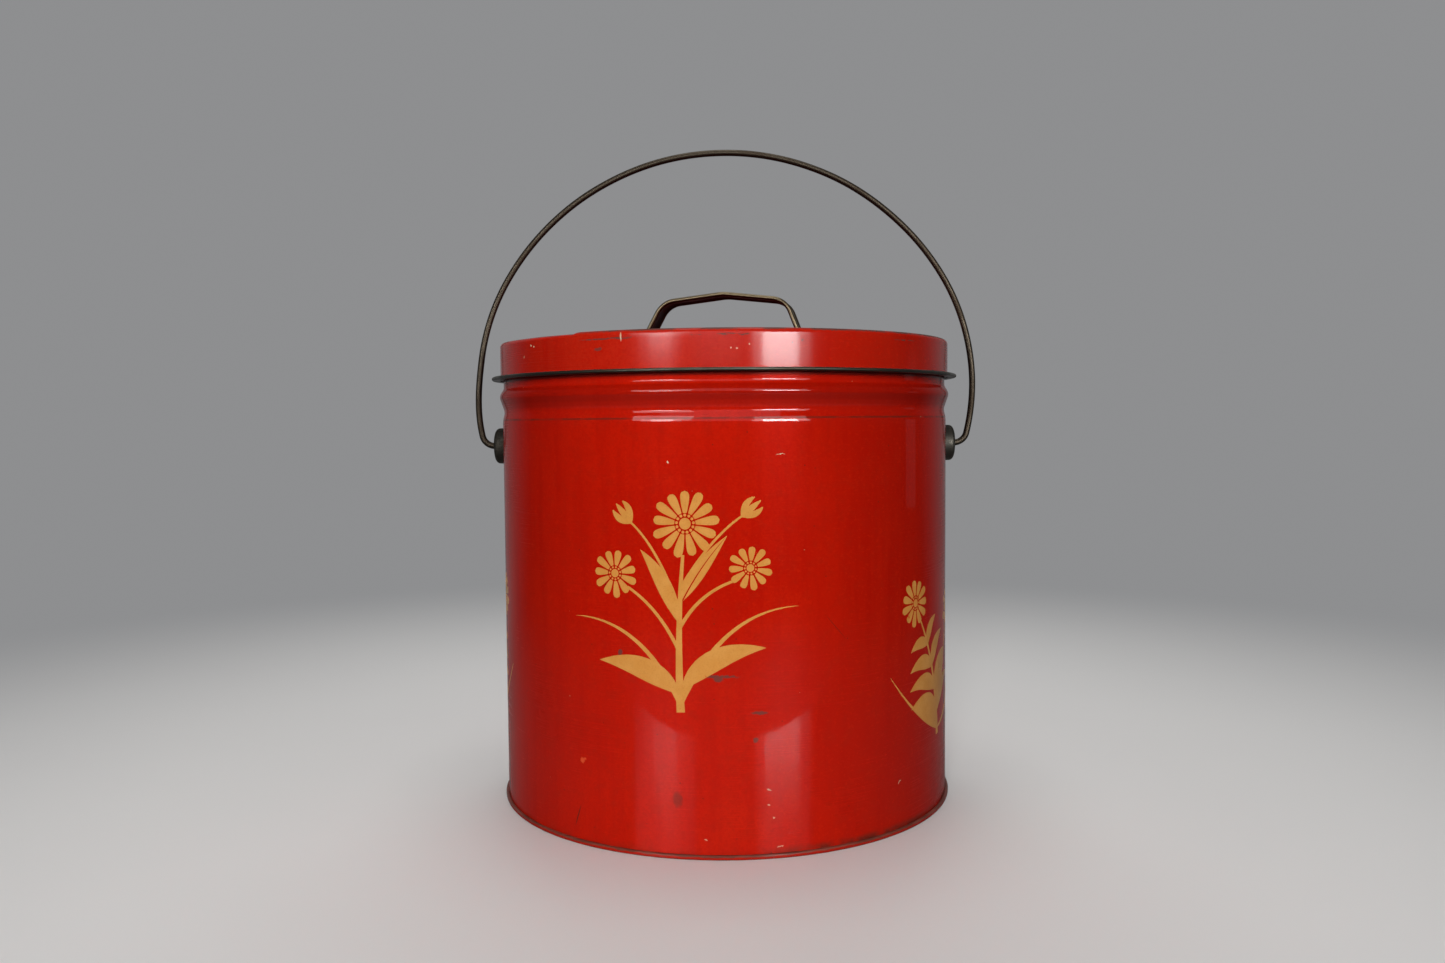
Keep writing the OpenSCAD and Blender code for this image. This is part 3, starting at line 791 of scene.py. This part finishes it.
def lid_skirt():
    """Skirt of the lid with its lip turned in at the top and its flange inside the hoop."""
    flange_r = hoop_r - HOOP_WALL
    low, high = hoop_z - SHEET / 2, hoop_z + SHEET / 2
    lip_r = lid_r - LIP_W + 0.15
    outside = (
        [(flange_r, low), (flange_r, high), (lid_r + 0.4, high)]
        + arc((lid_r + 0.4, high + 0.4), 0.4, 270, 180, 4)
        + straight((lid_r, high + 0.8), (lid_r, corner_z), 8)
        + arc(lid_corner, LID_CORNER_R, 0, 90, 12)
        + [(lip_r, lid_z)]
        + arc((lip_r, lid_z - SHEET / 2), SHEET / 2, 90, 270, 6)
    )
    inside = arc(lid_corner, LID_CORNER_R - SHEET, 90, 0, 12)
    inside += [(lid_r - SHEET, low + 0.3), (lid_r - SHEET + 0.2, low)]
    profile = coated(outside, 0) + coated(inside, 1)
    lathe("lid_band", profile, [lid_red, tin], "lid", "red_lacquer", ["lid_skirt"], lid_warp)


def lid_top():
    """Recessed top of the lid, with its raised rim under the skirt's lip and its collar inside the skirt."""
    ease = TOP_BEND_R * math.tan(math.radians(22.5))
    dip = (panel_r - ease, panel_z + TOP_BEND_R)
    rise = (panel_r + TOP_RECESS + ease, rim_z - TOP_BEND_R)
    corner_r = collar_r - lid_corner[0]
    collar_z = corner_z - COLLAR_LEN
    over = (
        [(0.0, panel_z)]
        + straight((panel_r * 0.2, panel_z), (panel_r - ease, panel_z), 6)
        + arc(dip, TOP_BEND_R, 270, 315, 5)
        + arc(rise, TOP_BEND_R, 135, 90, 5)
        + arc(lid_corner, corner_r, 90, 0, 12)
        + [(collar_r, collar_z)]
    )
    under = (
        [(collar_r - SHEET, collar_z)]
        + arc(lid_corner, corner_r - SHEET, 0, 90, 12)
        + arc(rise, TOP_BEND_R - SHEET, 90, 135, 5)
        + arc(dip, TOP_BEND_R + SHEET, 315, 270, 5)
        + [(panel_r * 0.5, panel_z - SHEET), (0.0, panel_z - SHEET)]
    )
    profile = coated(over, 0) + coated(under, 1)
    lathe("lid_panel", profile, [lid_red, tin], "lid", "red_lacquer", ["lid_top"], lid_warp, looped=False)


def lid_hoop():
    """Bare hoop closed over the skirt's flange: flat above and below, rounded outside."""
    half = hoop_h / 2
    low, high = hoop_z - half, hoop_z + half
    end_r = hoop_r - half
    inner_r = lid_r + FOLD_GAP
    profile = (
        [(inner_r, high - 0.3), (inner_r + 0.3, high)]
        + straight((inner_r + 0.6, high), (end_r, high), 3)
        + arc((end_r, hoop_z), half, 90, -90, 16)
        + [(inner_r + 0.6, low), (inner_r + 0.3, low), (inner_r, low + 0.3)]
    )

    def warp(angle, radius, height):
        where = turning(angle, 9, 1.7)
        share = (radius - inner_r) / (hoop_r - inner_r)
        return radius + 0.10 * share * noise.noise(where), height + 0.08 * share * noise.noise(where * 0.5)

    lathe("lid_ring", coated(profile, 0), [hoop_steel], "lid", "dark_steel", ["lid_hoop"], warp)


def lap_seam(name, outline, angle, material, body):
    """Lap seam: a strip one sheet proud that follows an outline of points (radius, height) up the back."""
    half = LAP_W / 2
    across = [(-half, 0.0), (-half, 0.7), (-half + 0.15, 1.0), (-half / 3, 1.0)]
    across += [(-x, out) for x, out in reversed(across)]
    rings = []
    for radius, height in outline:
        ring = []
        for x, out in across:
            turn = angle + x / radius
            r = radius + (wave(turn, height) if body == "pail" else 0.0)
            ring.append(round_pail(turn, r - LAP_SINK + out * (SHEET + LAP_SINK), height))
        rings.append(ring)
    make_piece(name, *swept(rings), [material], body, "red_lacquer", sharp=50.0)


def seams():
    """Lap seams at the back of the wall and of the lid's skirt."""
    wall = [p for p in wall_outline() if SEAM_H + FOLD_GAP < p[1] < hoop_foot_z - 0.5]
    lap_seam("pail_lap_seam", wall, math.pi, wall_red, "pail")
    skirt = straight((lid_r, hoop_z + hoop_h / 2 + FOLD_GAP), (lid_r, corner_z), 6)
    lap_seam("lid_lap_seam", skirt, math.pi - HANDLE_TURN, lid_red, "lid")


def ear(name, side, node):
    """Stamped cup on the wall, side 1 on the right and -1 on the left, with a rounded bore for the wire."""
    out = ear_face - wall_r
    bore = WIRE_R + BORE_PLAY
    corner = (ear_r - EAR_ROUND, out - EAR_ROUND)
    profile = (
        [(ear_r + 0.35, None), (ear_r + 0.06, 0.35)]
        + arc(corner, EAR_ROUND, 0, 90, 12)
        + [(bore + 2.4, out), (bore + 1.2, out - 0.06)]
        + arc((bore + 0.3, out - 0.36), 0.3, 90, 180, 5)
        + [(bore, out - EAR_T), (corner[0], out - EAR_T)]
        + arc(corner, EAR_ROUND - EAR_T, 90, 0, 6)
        + [(ear_r - EAR_T, None)]
    )
    rings = []
    for radius, reach in profile:
        ring = []
        for k in range(EAR_STEPS):
            angle = 2 * math.pi * k / EAR_STEPS
            y, z = radius * math.cos(angle), radius * math.sin(angle)
            seat = math.sqrt(wall_r * wall_r - y * y)
            lift = 0.02 * noise.noise(Vector((y / 4, z / 4, side * 3.0)))
            x = seat - 0.05 if reach is None else max(wall_r + reach, seat + 0.1) + lift
            ring.append(Vector((side * x, y, pivot_z + z)))
        rings.append(ring)
    make_piece(name, *swept(rings, looped=True), [ear_steel], "pail", "dark_steel", [node])


def bail_line():
    """Half of the wire from the middle of its crown to its head: points (x, z), outward angle, radius."""
    rise = bail_top - pivot_z
    hook_x = ear_face + PIN_OUT
    side = (CROWN_EXTRA * math.sin(CROWN_HALF), CROWN_EXTRA * math.cos(CROWN_HALF))
    height = rise - CROWN_EXTRA + side[1] - 2 * HOOK_R
    reach = hook_x - side[0]
    side_r = (height * height + reach * reach) / (2 * height) + HOOK_R
    crown_r = side_r + CROWN_EXTRA
    crown_z = bail_top - crown_r
    lean = math.degrees(math.acos(reach / (side_r - HOOK_R)))
    brow = 90 - math.degrees(CROWN_HALF)
    line = []
    for centre, radius, start, end, steps in (
        ((0.0, crown_z), crown_r, 90, brow, 140),
        ((side[0], crown_z + side[1]), side_r, brow, -lean, 84),
        ((hook_x, pivot_z + HOOK_R), HOOK_R, -lean, -90, 20),
    ):
        for i, place in enumerate(arc(centre, radius, start, end, steps)[:-1]):
            line.append((place, math.radians(start + (end - start) * i / steps), WIRE_R))
    head_x = ear_face - EAR_T - PIN_PLAY
    for x, r in (
        (hook_x, WIRE_R),
        (head_x + 0.1, WIRE_R),
        (head_x, PIN_HEAD_R - 0.25),
        (head_x - 0.25, PIN_HEAD_R),
        (head_x - PIN_HEAD_T + 0.25, PIN_HEAD_R),
        (head_x - PIN_HEAD_T, PIN_HEAD_R - 0.3),
    ):
        line.append(((x, pivot_z), math.radians(-90), r))
    return line


def bail():
    """Bent wire, a little uneven and out of true, with an upset head inside each ear."""
    half = bail_line()
    line = [((-x, z), math.pi - angle, r) for (x, z), angle, r in reversed(half[1:])] + half
    rings = []
    for (x, z), angle, radius in line:
        free = smooth((z - pivot_z - 12.0) / 30.0)
        where = Vector((x / 38.0, z / 38.0, 2.6))
        bend = 0.22 * free * noise.noise(where)
        sway = 0.25 * free * noise.noise(where + Vector((0.0, 0.0, 9.0)))
        x += BAIL_PUSH * (1 - x / ear_face) * smooth((z - pivot_z - 2.0) / 42.0)
        ring = []
        for k in range(WIRE_STEPS):
            turn = 2 * math.pi * k / WIRE_STEPS
            out = bend + radius * math.cos(turn)
            aside = sway + radius * math.sin(turn)
            ring.append(Vector((x + out * math.cos(angle), aside, z + out * math.sin(angle))))
        rings.append(ring)
    make_piece("bail_wire", *swept(rings), [wire_steel], "bail", "dark_steel", ["bail"])


def strap_line():
    """Half of the strap from crown to foot: x, height over the lid's panel, tilt."""
    top = handle_top - panel_z - EDGE_R
    heel_x = RIVET_SPAN / 2 - FOOT_LEN
    heel_z = STRAP_T / 2
    rise, slope = LEG_RISE, CROWN_SLOPE
    run = heel_x - HEEL_R * math.sin(rise) - SHOULDER_R * (math.sin(rise) - math.sin(slope))
    run -= CROWN_R * math.sin(slope)
    climb = top - heel_z - HEEL_R * (1 - math.cos(rise)) - SHOULDER_R * (math.cos(slope) - math.cos(rise))
    climb -= CROWN_R * (1 - math.cos(slope))
    leg = (climb * math.cos(slope) - run * math.sin(slope)) / math.sin(rise - slope)
    brow = (run * math.sin(rise) - climb * math.cos(rise)) / math.sin(rise - slope)
    x, z = 0.0, top
    line = [(x, z, 0.0)]
    for size, start, end, steps in (
        (CROWN_R, 0.0, slope, 6),
        (brow, slope, slope, 10),
        (SHOULDER_R, slope, rise, 16),
        (leg, rise, rise, 10),
        (HEEL_R, rise, 0.0, 10),
        (FOOT_LEN, 0.0, 0.0, 4),
    ):
        length = size * (abs(end - start) if end != start else 1.0) / steps
        for i in range(steps):
            tilt = start + (end - start) * (i + 0.5) / steps
            x += length * math.cos(tilt)
            z -= length * math.sin(tilt)
            line.append((x, z, start + (end - start) * (i + 1) / steps))
    return line


def strap_outline(half, edge):
    """Outline across the strap: two rolled edges joined by a thin web that is slightly hollow below."""
    steps = 14
    open_angle = math.asin(STRAP_T / 2 / edge)
    turns = [(math.pi - open_angle) * (2 * i / steps - 1) for i in range(steps + 1)]
    right = [Vector((half - edge + edge * math.cos(a), edge * math.sin(a))) for a in turns]
    left = [Vector((-p.x, p.y)) for p in reversed(right)]
    return right + left


def lid_handle():
    """Strap handle: rolled edges over the crown and the legs that run out into flat riveted feet."""
    steps = 16
    line = strap_line()
    half_w = HANDLE_W / 2
    foot_half = half_w - EDGE_R
    last_x = line[-1][0]
    stations = []
    for x, z, tilt in line:
        fade = smooth((z - STRAP_T - 2.0) / 9.0)
        edge = FLAT_EDGE_R + (EDGE_R - FLAT_EDGE_R) * fade
        stations.append((x, z, tilt, foot_half + (half_w - foot_half) * fade, edge))
    for i in range(1, steps + 1):
        turn = math.radians(86) * i / steps
        half = max(foot_half * math.cos(turn), 0.9)
        stations.append((last_x + foot_half * math.sin(turn), STRAP_T / 2, 0.0, half, FLAT_EDGE_R))
    stations = [(-x, z, -tilt, half, edge) for x, z, tilt, half, edge in reversed(stations[1:])] + stations
    turned = Matrix.Rotation(HANDLE_TURN, 3, "Z")
    rings = []
    for x, z, tilt, half, edge in stations:
        x += HANDLE_PUSH * smooth((z - 4.0) / 20.0)
        ring = []
        for p in strap_outline(half, edge):
            ring.append(turned @ Vector((x + p.y * math.sin(tilt), p.x, panel_z + z + p.y * math.cos(tilt))))
        rings.append(ring)
    points, faces = swept(rings)
    slots = [1 if (k + 1) % len(rings[0]) == 0 else 0 for k in range(len(faces))]
    make_piece("strap_handle", points, faces, [handle_steel, strap_shade], "lid", "handle_steel",
               ["lid_handle"], slots, sharp=55.0)


# Printed sprigs, drawn flat in millimetres from the sprig's foot, then laid on the wall
BLADE_STEPS = 30
PRINT_RISE = 0.03
PRINT_SINK = 0.03
GRID = 2.0
VEIN = 0.55
GOLDEN_ANGLE = 2.39996


def curve(path, share):
    """Point and direction on a curve through a start, towards a bend, to an end."""
    a, b, c = (Vector(p) for p in path)
    point = a * (1 - share) ** 2 + b * 2 * share * (1 - share) + c * share ** 2
    along = (b - a) * (1 - share) + (c - b) * share
    return point, along.normalized()


def ribbon(path, left, right=None, steps=BLADE_STEPS):
    """Outline along a curve, with offsets by the share of its length. Without right it is symmetric."""
    one, other = [], []
    for i in range(steps + 1):
        share = i / steps
        point, along = curve(path, share)
        side = Vector((-along.y, along.x))
        one.append(point + side * left(share))
        other.append(point + side * (right(share) if right else -left(share)))
    return one + other[::-1]


def stalk(path, foot, tip):
    """Stalk that tapers from its foot's width to its tip's."""
    def half(share):
        return (foot + (tip - foot) * share) / 2
    return [ribbon(path, half)]


def grass(path, width):
    """Blade of grass: widest a third of the way up, running out to a point."""
    def half(share):
        swell = 0.35 + 0.65 * math.sin(math.pi * min(share * 1.5, 0.5))
        return width / 2 * swell * (1 - share) ** 0.75 + 0.05
    return [ribbon(path, half)]


def leaf(path, width):
    """Leaf in two halves with a bare vein between them."""
    def vein(share):
        return VEIN / 2 * (1 - share) ** 0.5

    def edge(share):
        return max(width / 2 * math.sin(math.pi * share ** 0.82) ** 0.9, vein(share) + 0.03)
    return [
        ribbon(path, edge, vein),
        ribbon(path, lambda share: -vein(share), lambda share: -edge(share)),
    ]


def compass(angle):
    """Direction at an angle from upwards, growing to the right."""
    return Vector((math.sin(angle), math.cos(angle)))


def petal(centre, angle, inner, outer, width):
    """Blunt petal that points away from a flower's centre."""
    path = [Vector(centre) + compass(angle) * reach for reach in (inner, (inner + outer) / 2, outer)]

    def half(share):
        return width / 2 * (0.30 + 0.70 * share ** 0.8) * max(1 - share ** 6, 0.0) ** 0.5 + 0.02
    return ribbon(path, half, steps=18)


def disc(centre, radius, steps=28):
    turns = [2 * math.pi * i / steps for i in range(steps)]
    return [Vector(centre) + Vector((math.cos(a), math.sin(a))) * radius for a in turns]


def daisy(centre, radius, petals, turn=0.0):
    """Open flower seen from the front: a dotted eye and a ring of petals with bare gaps between them."""
    eye = radius * 0.27
    shapes = [disc(centre, eye * 0.62)]
    width = 2 * math.pi * radius * 0.80 / petals - 0.75
    for i in range(petals):
        angle = turn + 2 * math.pi * i / petals
        long = radius * (1.0 if i % 2 else 0.94)
        shapes.append(petal(centre, angle, eye + 0.55, long, width))
        shapes.append(disc(Vector(centre) + compass(angle) * eye * 0.92, eye * 0.16, 10))
    return shapes


def bud(foot, tip, width):
    """Closed bud of three petals on the end of a stalk."""
    foot, tip = Vector(foot), Vector(tip)
    along = tip - foot
    side = Vector((-along.y, along.x)).normalized()

    def half(share):
        return width * 0.20 * math.sin(math.pi * min(share * 0.9 + 0.06, 1.0)) + 0.04
    shapes = []
    for lean in (-1, 0, 1):
        end = tip + side * lean * width * 0.42 - along * abs(lean) * 0.10
        bend = foot + along * 0.45 + side * lean * width * 0.62
        shapes.append(ribbon((foot, bend, end), half, steps=16))
    return shapes


def berries(centre, count, radius):
    """Loose cluster of round berries."""
    shapes = []
    for i in range(count):
        angle = i * GOLDEN_ANGLE
        reach = radius * 1.5 * math.sqrt(i + 0.15)
        place = Vector(centre) + Vector((math.cos(angle), math.sin(angle))) * reach
        shapes.append(disc(place, radius, 18))
    return shapes


def daisy_sprig():
    """Spray of three daisies with two buds, broad leaves and arching blades of grass."""
    return (
        stalk(((0, 0), (-1.5, 34), (1.5, 66)), 3.6, 1.3)
        + daisy((2.5, 79), 14.5, 13)
        + stalk(((-0.6, 26), (-9, 44), (-23, 52)), 1.6, 1.1)
        + daisy((-29, 57.5), 10.5, 11, 0.2)
        + stalk(((0.2, 36), (8, 50), (22, 55)), 1.6, 1.1)
        + daisy((29.5, 60.5), 9.5, 11, 0.1)
        + leaf(((-0.8, 8), (-14, 22), (-37, 20)), 9.5)
        + leaf(((0.8, 10), (13, 27), (36, 27)), 9.0)
        + leaf(((-0.6, 38), (-6, 56), (-17, 68)), 6.5)
        + leaf(((1.2, 47), (9, 62), (20, 74)), 5.5)
        + grass(((-0.6, 3), (-16, 40), (-50, 38)), 2.4)
        + grass(((0.8, 4), (18, 44), (50, 44)), 2.4)
        + stalk(((-1, 46), (-10, 70), (-21, 79)), 1.2, 0.9)
        + bud((-21, 79), (-28, 87), 7.0)
        + stalk(((1.4, 54), (14, 74), (26, 82)), 1.2, 0.9)
        + bud((26, 82), (34, 88.5), 6.4)
    )


def berry_sprig():
    """Low bending sprig with paired leaves, berries and one daisy."""
    stem = ((0, 0), (2, 30), (20, 56))
    shapes = stalk(stem, 3.2, 1.0)
    for share, width, reach in ((0.18, 8.5, 26), (0.38, 8.0, 24), (0.58, 7.0, 20), (0.78, 5.5, 15)):
        foot, along = curve(stem, share)
        for side in (-1, 1):
            out = Vector((along.y * side, -along.x * side))
            bend = foot + along * reach * 0.50 + out * reach * 0.30
            tip = foot + along * reach * 0.42 + out * reach
            shapes += leaf((foot, bend, tip), width)
    shapes += daisy((25, 65), 11.0, 11, 0.15)
    shapes += stalk(((-0.4, 12), (-16, 34), (-20, 52)), 1.3, 0.9)
    shapes += berries((-20.5, 57), 8, 1.9)
    shapes += grass(((0.5, 3), (26, 12), (44, 34)), 2.2)
    shapes += grass(((-0.5, 3), (-24, 8), (-46, 30)), 2.2)
    return shapes


def inside(point, outline):
    """Whether a point is inside a closed outline."""
    hit = False
    for a, b in zip(outline, outline[1:] + outline[:1]):
        if (a.y > point.y) != (b.y > point.y) and point.x < (b.x - a.x) * (point.y - a.y) / (b.y - a.y) + a.x:
            hit = not hit
    return hit


def fill_points(outline):
    """Grid points inside an outline, so that wide shapes bend with the wall."""
    ranges = []
    for values in ([p.x for p in outline], [p.y for p in outline]):
        ranges.append(range(math.ceil(min(values) / GRID), math.floor(max(values) / GRID) + 1))
    points = [Vector((i * GRID, j * GRID)) for i in ranges[0] for j in ranges[1]]
    return [point for point in points if inside(point, outline)]


def printed(name, shapes, angle, foot_z, mirrored=False):
    """Thin closed layer of ink in the given shapes, laid on the wall with its foot at an angle and height."""
    corners, outlines = [], []
    for outline in shapes:
        outlines.append(list(range(len(corners), len(corners) + len(outline))))
        corners += outline
    for outline in shapes:
        corners += fill_points(outline)
    flat, _, triangles, *_ = geometry.delaunay_2d_cdt(corners, [], outlines, 1, 1e-4)
    side = -1 if mirrored else 1
    points = []
    for lift in (PRINT_RISE, -PRINT_SINK):
        for p in flat:
            turn = math.radians(angle) + side * p.x / wall_r
            height = foot_z + p.y
            points.append(round_pail(turn, wall_r + wave(turn, height) + lift, height))
    count = len(flat)
    faces = [tuple(t) for t in triangles] + [tuple(i + count for i in reversed(t)) for t in triangles]
    owners = {}
    for t in triangles:
        for a, b in zip(t, t[1:] + t[:1]):
            owners.setdefault(frozenset((a, b)), []).append((a, b))
    for edges in owners.values():
        if len(edges) == 1:
            a, b = edges[0]
            faces.append((b, a, a + count, b + count))
    make_piece(name, points, faces, [gold], "pail", "red_lacquer", sharp=60.0)


def prints():
    """Four sprigs round the wall, two kinds in turn."""
    daisies = daisy_sprig()
    berry = berry_sprig()
    printed("print_front", daisies, -10, 62.0)
    printed("print_right", berry, 64, 36.0, mirrored=True)
    printed("print_back", daisies, 150, 62.0, mirrored=True)
    printed("print_left", berry, -89, 36.0)


def build():
    """All the pieces, and materials for the CAD nodes that stay."""
    body_wall()
    foot_seam()
    lid_skirt()
    lid_top()
    lid_hoop()
    seams()
    ear("ear_cup_right", 1, "right_ear")
    ear("ear_cup_left", -1, "left_ear")
    bail()
    lid_handle()
    prints()
    kept = {"mouth_wire": wire_tin, "handle_rivets": handle_steel, "rivet_washers": wire_tin}
    for node, material in kept.items():
        mesh = frame["nodes"][node].data
        mesh.materials.clear()
        mesh.materials.append(material)


# Studio: a grey backdrop, a pale floor that fades into it and is glossy in reflections up to a front edge
BACKDROP = (0.270, 0.272, 0.278)
ROOM_DIM = 0.12
FLOOR_PALE = (0.84, 0.83, 0.815)
FLOOR_STAIN = (0.78, 0.77, 0.76)
FLOOR_DIM = 0.85
FLOOR_GLOSS_DIM = 0.60
FLOOR_R = 6000.0
FLOOR_DROP = 0.02
FLOOR_STEPS = 96
FLOOR_MATTE = 0.60
FLOOR_POLISHED = 0.18
GLOSS_START = -300.0
GLOSS_END = -286.0
FADE_START = 260.0
FADE_END = 800.0

# Lamps: windows behind the camera by angle, height of their foot, width, height and watts
WINDOW_AWAY = 2000.0
WINDOWS = [
    ("window_right", 27.0, 292, 1000, 230, 3.6),
    ("window_right_core", 26.5, 292, 600, 230, 12.9),
    ("window_left", -30.0, 350, 700, 230, 2.0),
    ("window_left_core", -29.5, 350, 380, 230, 2.8),
    ("strip_right", 104.0, 0, 300, 300, 0.07),
]

# Panels by angle round the pail and angle of rise, width, height and watts, for gloss or for matte surfaces
PANEL_AWAY = 2200.0
PANELS = [
    ("panel_right", 27.0, 17, 950, 500, 5.0, True),
    ("panel_left", -30.0, 20, 1100, 600, 9.0, True),
    ("panel_middle", -2.0, 24, 2200, 1100, 6.0, True),
    ("key", -3.0, 18, 800, 800, 45.0, False),
    ("rear", 180.0, 40, 1600, 1200, 12.0, False),
]
PANEL_TARGET = (0, 0, 110)
CEILING_Z = 1900.0
CEILING_W = 900.0
CEILING_WATTS = 8.0


def plainly_seen(nodes, direction):
    """1 for the camera's rays and for others towards the rear, matte ones half. Else the room's dimness."""
    path = nodes.node("LightPath").outputs
    unit = nodes.node("VectorMath", {0: direction}, operation="NORMALIZE").outputs[0]
    rear = nodes.step(nodes.split(unit)[1], 0.25, 0.75)
    bounced = nodes.times(path["Is Diffuse Ray"], 0.5)
    others = nodes.either(path["Is Glossy Ray"], path["Is Transmission Ray"], bounced)
    return nodes.either(path["Is Camera Ray"], nodes.times(others, rear), ROOM_DIM)


def world():
    """Plain grey all round."""
    made = bpy.data.worlds.new("studio")
    made.use_nodes = True
    nodes = Nodes(made.node_tree)
    background = made.node_tree.nodes["Background"]
    direction = nodes.node("TexCoord").outputs["Generated"]
    nodes.feed(background.inputs["Color"], BACKDROP)
    nodes.feed(background.inputs["Strength"], plainly_seen(nodes, direction))
    bpy.context.scene.world = made


def floor():
    """Pale floor that keeps the pail's shadow and fades to the backdrop's grey far away."""
    s = Surface("floor_pale", FLOOR_PALE, Specular_IOR_Level=0.3)
    s.paint(FLOOR_STAIN, s.clouds(s.place, 3.0, 3.0, 0.3, 0.7), 0.25)
    path = s.node("LightPath").outputs
    bounced = s.times(path["Is Diffuse Ray"], FLOOR_DIM)
    s.paint(BLACK, s.either(bounced, s.times(path["Is Glossy Ray"], FLOOR_GLOSS_DIM)))
    s.set("Base Color", s.colour)
    gloss = s.step(s.split(s.place)[1], GLOSS_START * MM, GLOSS_END * MM, FLOOR_MATTE, FLOOR_POLISHED)
    s.set("Roughness", s.either(gloss, s.times(path["Is Camera Ray"], FLOOR_MATTE)))
    glow = s.node("Emission", {"Color": BACKDROP, "Strength": plainly_seen(s, s.place)})
    far = s.step(s.radius(s.place), FADE_START, FADE_END)
    blend = s.node("MixShader", {0: far, 1: s.shader.outputs[0], 2: glow.outputs[0]})
    s.feed(s.tree.nodes["Material Output"].inputs["Surface"], blend.outputs[0])
    ring = [round_pail(2 * math.pi * k / FLOOR_STEPS, FLOOR_R, -FLOOR_DROP) * MM for k in range(FLOOR_STEPS)]
    mesh = bpy.data.meshes.new("floor")
    mesh.from_pydata(ring, [], [tuple(range(FLOOR_STEPS))])
    mesh.materials.append(s.material)
    ground = bpy.data.objects.new("floor", mesh)
    bpy.context.scene.collection.objects.link(ground)


def soft_light(name, place, target, width, height, power, gloss=True, matte=True):
    """Soft rectangle of light that faces a target, for gloss, for matte surfaces or for both."""
    lamp = bpy.data.lights.new(name, "AREA")
    lamp.shape = "RECTANGLE"
    lamp.size = width * MM
    lamp.size_y = height * MM
    lamp.energy = power
    holder = bpy.data.objects.new(name, lamp)
    holder.location = Vector(place) * MM
    holder.rotation_mode = "QUATERNION"
    holder.rotation_quaternion = (Vector(target) - Vector(place)).to_track_quat("-Z", "Y")
    holder.visible_camera = False
    holder.visible_glossy = gloss
    holder.visible_diffuse = matte
    bpy.context.scene.collection.objects.link(holder)


def lights():
    """Windows behind the camera and soft panels over them, seen in gloss. A key, a rear fill, a ceiling."""
    for name, degrees, foot, width, height, power in WINDOWS:
        middle = foot + height / 2
        place = round_pail(math.radians(degrees), WINDOW_AWAY, middle)
        soft_light(name, place, (0, 0, middle), width, height, power, matte=False)
    for name, degrees, rise, width, height, power, gloss in PANELS:
        up = math.radians(rise)
        place = round_pail(math.radians(degrees), PANEL_AWAY * math.cos(up), PANEL_AWAY * math.sin(up))
        soft_light(name, place, PANEL_TARGET, width, height, power, gloss=gloss, matte=not gloss)
    soft_light("ceiling", (0, 0, CEILING_Z), (0, 0, 0), CEILING_W, CEILING_W, CEILING_WATTS)


def camera():
    """Camera at the photograph's place, looking along +Y and slightly down."""
    data = bpy.data.cameras.new("camera")
    data.lens = CAMERA_LENS
    data.sensor_width = SENSOR_W
    holder = bpy.data.objects.new("camera", data)
    level = Matrix.Rotation(math.radians(90), 4, "X")
    aim = Matrix.Rotation(CAMERA_YAW, 4, "Z") @ level @ Matrix.Rotation(CAMERA_PITCH, 4, "X")
    place = Matrix.Translation(Vector(CAMERA_PLACE) * MM)
    holder.matrix_world = place @ aim @ Matrix.Rotation(CAMERA_ROLL, 4, "Z")
    bpy.context.scene.collection.objects.link(holder)
    bpy.context.scene.camera = holder


build()
world()
floor()
lights()
camera()
bpy.context.scene.view_settings.view_transform = "Standard"
